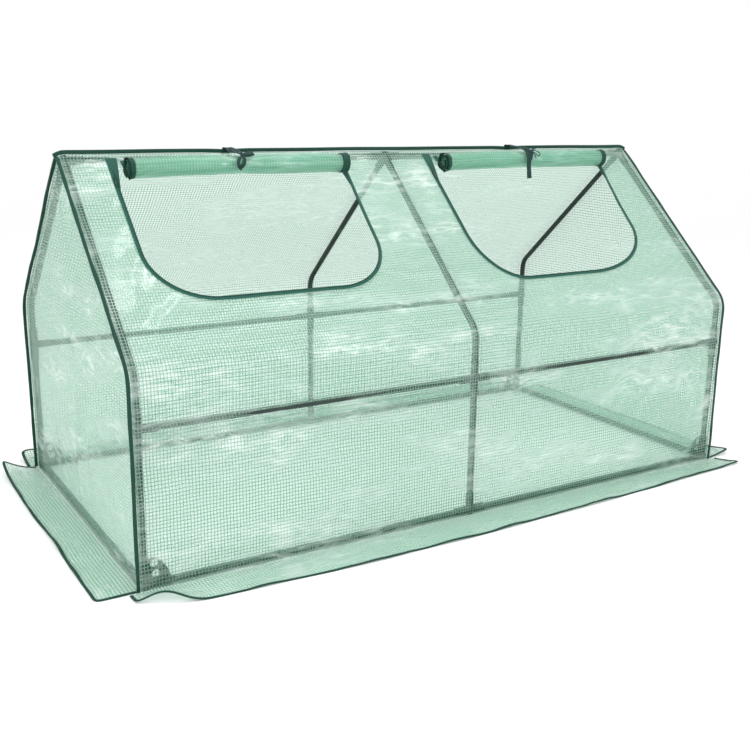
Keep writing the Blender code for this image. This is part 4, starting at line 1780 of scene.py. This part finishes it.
    def left_tie(self, shell: Shell, start: np.ndarray) -> None:
        """A narrow ribbon drawn to a small knot, with a folded end to the right and a loop below.

        Args:
            shell: where the faces go.
            start: where it leaves the ridge.
        """
        knot = self.on_roll(0.003, 134, 0.0032)
        for x, lift in ((-0.0040, 0.0012), (0.0055, 0.0022)):
            first = start + np.array((x * 1.6, 0.0, 0.0))
            half_way = (first + self.on_roll(x, 86, lift)) / 2 + (0, 0, 0.0010)
            way = [first, half_way, *self.round_roll((x, 88, lift), (x * 0.8, 110, lift)), knot]
            self.ribbon(shell, way, (0.0095, 0.0100, 0.0090, 0.0070, 0.0055))
        tail = [knot, *self.round_roll((0.011, 131, 0.0052), (0.022, 127, 0.0060), (0.033, 124, 0.0054))]
        self.ribbon(shell, tail, (0.007, 0.0125, 0.0140, 0.0140))
        back = [*self.round_roll((0.031, 127, 0.0038), (0.020, 133, 0.0034), (0.010, 136, 0.0030)), knot]
        self.ribbon(shell, back, (0.0110, 0.0115, 0.0090, 0.0050))
        outward = self.round_roll((0.004, 150, 0.0040), (0.002, 172, 0.0052), (-0.007, 190, 0.0062))
        homeward = self.round_roll((-0.014, 176, 0.0056), (-0.009, 154, 0.0040))
        loop = [knot, *outward, *homeward, knot]
        self.ribbon(shell, loop, (0.006, 0.010, 0.0105, 0.0095, 0.0085, 0.008, 0.0050))
        end = self.round_roll((-0.014, 172, 0.0036), (-0.012, 190, 0.0040), (-0.005, 204, 0.0056))
        self.ribbon(shell, end, (0.0045, 0.0055, 0.0045))
        under = self.round_roll((-0.022, 84, 0.0030), (-0.014, 108, 0.0030))
        strand = [start + (-0.004, 0, 0.0), *under, knot]
        self.ribbon(shell, strand, (0.0022, 0.0026, 0.0022))
        self.knot(shell, knot, 0.0048)

    def right_tie(self, shell: Shell, start: np.ndarray) -> None:
        """A wide ribbon with a square-cut end below the roll, tied with a small bow on its right.

        Args:
            shell: where the faces go.
            start: where it leaves the ridge.
        """
        wide = [start + (-0.002, 0, 0), (start + self.on_roll(0, 84, 0.0024)) / 2 + (0, 0, 0.0012)]
        wide += self.round_roll((-0.001, 88, 0.0020), (-0.001, 110, 0.0018), (0.0, 140, 0.0022))
        leave = self.on_roll(0.001, 170, 0.0026)
        hanging = ((0.0005, 0, -0.022), (0.002, -0.001, -0.042), (0.004, -0.001, -0.060))
        wide += [leave, *(leave + drop for drop in hanging)]
        self.ribbon(shell, wide, (0.0200, 0.0190, 0.0150, 0.0125, 0.0150, 0.0160, 0.0150, 0.0145, 0.0145))
        short = [start + (0.006, 0, 0.0004), *self.round_roll((0.006, 92, 0.0034), (0.009, 118, 0.0036))]
        short += self.round_roll((0.011, 146, 0.0038), (0.008, 176, 0.0034), (0.004, 192, 0.0032))
        self.ribbon(shell, short, (0.010, 0.010, 0.0125, 0.0135, 0.0120, 0.006))
        knot = self.on_roll(0.0125, 136, 0.0056)
        self.knot(shell, knot, 0.0044)
        stub = [knot, *self.round_roll((0.018, 128, 0.0082), (0.030, 124, 0.0094))]
        self.ribbon(shell, stub, (0.004, 0.0048, 0.0042))
        outward = self.round_roll((0.021, 146, 0.0070), (0.032, 164, 0.0080), (0.038, 158, 0.0088))
        loop = [knot, *outward, *self.round_roll((0.034, 144, 0.0086), (0.022, 134, 0.0076)), knot]
        self.ribbon(shell, loop, (0.0024, 0.0026, 0.0028, 0.0026, 0.0024))
        end = [knot, *self.round_roll((0.020, 156, 0.0060), (0.024, 176, 0.0066))]
        self.ribbon(shell, end, (0.0024, 0.0028, 0.0024))

    def knot(self, shell: Shell, place: np.ndarray, size: float) -> None:
        """A small hard knot: a ring of ribbon pulled tight.

        Args:
            shell: where the faces go.
            place: its middle.
            size: its radius.
        """
        out = place - self.roll_centre
        out[0] = 0.0
        out = unit(out)
        side = np.array((1.0, 0.0, 0.0))
        up = np.cross(out, side)
        ring = []
        for step in range(9):
            angle = 2 * math.pi * step / 8 + 0.3
            turned = up * 0.62 * math.cos(angle) + out * 0.40 * math.sin(angle)
            ring.append(place + size * (turned + side * 0.05 * step))
        path = smoothed([tuple(point) for point in ring], 0.0012)
        away = path - place
        away[:, 0] = 0.0
        sweep(shell, path, unit(away), rounded_bar(size * 1.3, 2 * self.tape_thick))


# ------------------------------------------------------------------ frame and studio
@dataclass
class TubeFrame:
    """The tubes and moulded joints, which keep their own meshes."""

    finishes: Finishes
    tube_endings: tuple[str, ...] = ("_leg", "_bent_tube", "_side_rail")
    joint_endings: tuple[str, ...] = ("_corner", "_tee", "_joint")

    def dress(self) -> int:
        """Give every tube and joint its finish.

        Returns:
            How many were dressed.
        """
        count = 0
        for name, node in frame["nodes"].items():
            if name.endswith(self.tube_endings) or "_rail_" in name or "ridge_tube" in name:
                finish = self.finishes.tube
            elif name.endswith(self.joint_endings):
                finish = self.finishes.joint
            else:
                continue
            for slot in node.material_slots:
                slot.material = finish
            count += 1
        return count


@dataclass
class Studio:
    """A white sweep, soft lights and the camera."""

    floor: Colour = (0.95, 0.95, 0.95)
    sky: float = 1.05
    eye: Point = (-1.51795, -2.45094, 1.03501)
    turn: float = -31.389  # to the right of straight ahead, in degrees
    dip: float = 14.808
    roll: float = 0.776
    lens: float = 48.617

    def build(self) -> None:
        """Make the sweep, the lights and the camera."""
        self.build_sweep()
        self.build_sky()
        self.build_lights()
        self.build_camera()

    def build_sweep(self) -> None:
        """The floor, turned up far behind the object and square to the camera."""
        x = np.linspace(-16.0, 16.0, 33)
        line = [(-10.0, 0.0), (3.0, 0.0), (6.0, 0.0)]
        rises = np.linspace(0.1, math.pi / 2, 16)
        line += [(6.0 + 4.0 * math.sin(rise), 4.0 - 4.0 * math.cos(rise)) for rise in rises]
        line += [(10.0, 14.0)]
        spin = np.array(Matrix.Rotation(math.radians(self.turn), 3, "Z").transposed())
        points = np.array([[(a, b, c) for a in x] for b, c in line])
        bench = Bench("studio_floor")
        place = bench.object_place()
        shade = tuple(part * 0.985 for part in self.floor)
        tone = bench.tinted(bench.grain(place, 1.5, 3.0), self.floor, shade)
        rough = bench.ramped(bench.grain(place, 3.0, 2.0), 0.3, 0.7, 0.75, 0.9)
        inputs = {"Base Color": tone, "Roughness": rough, "Specular IOR Level": 0.1}
        paper = bench.place("BsdfPrincipled", inputs)
        shell = Shell()
        shell.add_grid(points @ spin, points[..., :2])
        shell.build("studio_sweep", bench.finish(paper.outputs[0]))

    def build_sky(self) -> None:
        """Even white light from all round."""
        world = bpy.data.worlds.new("studio_sky")
        bpy.context.scene.world = world
        world.use_nodes = True
        light = world.node_tree.nodes["Background"].inputs
        light["Color"].default_value = (1.0, 1.0, 1.0, 1.0)
        light["Strength"].default_value = self.sky

    def build_lights(self) -> None:
        """A large soft key from the front left, and long strips that draw the film's creases."""
        self.panel("key", (-2.4, -2.6, 2.8), (0.0, 0.0, 0.3), 1.2, 1.2, 26.0)
        self.panel("overhead_strip", (0.2, -0.3, 3.0), (0.0, 0.0, 0.4), 3.0, 0.16, 26.0)
        self.panel("front_strip", (1.3, -3.2, 1.5), (0.2, 0.0, 0.4), 0.16, 1.8, 18.0)
        self.panel("left_strip", (-3.6, -0.4, 1.6), (0.0, 0.0, 0.4), 0.16, 2.0, 18.0)

    def panel(self, name: str, place: Point, aim: Point, wide: float, high: float, power: float) -> None:
        """A soft light panel.

        Args:
            name: the lamp's name.
            place: where it stands.
            aim: what it looks at.
            wide: its width.
            high: its height.
            power: its power in watts.
        """
        lamp = bpy.data.lights.new(name, "AREA")
        lamp.shape = "RECTANGLE"
        lamp.size, lamp.size_y, lamp.energy = wide, high, power
        item = bpy.data.objects.new(name, lamp)
        item.location = place
        item.rotation_euler = (Vector(aim) - Vector(place)).to_track_quat("-Z", "Y").to_euler()
        item.visible_camera = False
        bpy.context.scene.collection.objects.link(item)

    def build_camera(self) -> None:
        """The camera, a little above the ridge and to the left."""
        turn, dip, tilt = (math.radians(angle) for angle in (self.turn, self.dip, self.roll))
        back = Vector((math.sin(turn) * math.cos(dip), -math.cos(turn) * math.cos(dip), math.sin(dip)))
        right = Vector((0, 0, 1)).cross(back).normalized()
        up = back.cross(right)
        across = right * math.cos(tilt) + up * math.sin(tilt)
        above = up * math.cos(tilt) - right * math.sin(tilt)
        lens = bpy.data.cameras.new("camera")
        lens.lens, lens.sensor_width = self.lens, 36.0
        camera = bpy.data.objects.new("camera", lens)
        aim = Matrix((across, above, back)).transposed().to_4x4()
        camera.matrix_world = Matrix.Translation(self.eye) @ aim
        bpy.context.scene.collection.objects.link(camera)
        scene = bpy.context.scene
        scene.camera = camera
        scene.view_settings.view_transform = "Standard"
        scene.cycles.transparent_max_bounces = 48
        scene.cycles.max_bounces = 16


def panel_area(shape: CoverShape, windows: Sequence[WindowShape]) -> tuple[float, float, float]:
    """The flat size of a long panel.

    Args:
        shape: the cover's shape.
        windows: the windows cut out of it.

    Returns:
        Its width, its height and its area without the windows.
    """
    run = shape.rows(Face.FRONT, shape.cover, 0.01)[0]
    width, height, cut = 2 * shape.end, float(run[-1]), 0.0
    for window in windows:
        line = window.outline()
        x, y = line[:, 0], line[:, 1]
        cut += abs(float(np.dot(x, np.roll(y, -1)) - np.dot(y, np.roll(x, -1)))) / 2
    return width, height, width * height - cut


def main() -> None:
    """Build every sub-assembly in order and report it."""
    logging.basicConfig(level=logging.INFO, format="%(message)s", stream=sys.stdout)
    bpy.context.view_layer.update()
    Studio().build()
    shape = CoverShape.from_frame()
    finishes = Finishes(shape)
    windows = [WindowShape.from_frame(side) for side in Side]
    log.info("frame: %d tubes and joints", TubeFrame(finishes).dress())
    bindings: list[bpy.types.Object] = []
    for side in Side:
        bindings += SeamBinding(shape, side, finishes).build()
        log.info("seam binding: %s", side.label)
    bindings += RidgeBinding(shape, [window.middle for window in windows], finishes).build()
    log.info("ridge binding")
    for face in Face:
        cuts = windows if face is Face.FRONT else []
        panel = LongPanel(shape, face, finishes, cuts).build()
        width, height, area = panel_area(shape, cuts)
        log.info("%s panel: %.3f x %.3f m flat", face.name.lower(), width, height)
    for side in Side:
        EndPanel(shape, side, finishes).build()
        log.info("end panel: %s", side.label)
    front_curl = Curl(-0.865, 0.042, 0.024)
    skirts = (
        GroundSkirt(shape, "front_skirt", 0, finishes, (front_curl,), 0.034, 0.50, 0.034, seed=60.0),
        GroundSkirt(shape, "right_skirt", 1, finishes, (Curl(-0.47, 0.06, 0.012),), seed=69.0),
        GroundSkirt(shape, "back_skirt", 2, finishes, (Curl(0.90, 0.06, 0.020),), 0.010, seed=78.0),
        GroundSkirt(shape, "left_skirt", 3, finishes, (Curl(-0.50, 0.075, 0.050),), seed=87.0),
    )
    for skirt in skirts:
        skirt.build()
        log.info("skirt: %s", skirt.name)
    for window in windows:
        band = 0.017 if window.side is Side.LEFT else 0.011
        RollUpDoor(shape, window, finishes, right_band=band).build()
        log.info("door: %s", window.side.label)


if __name__ == "__main__":
    main()
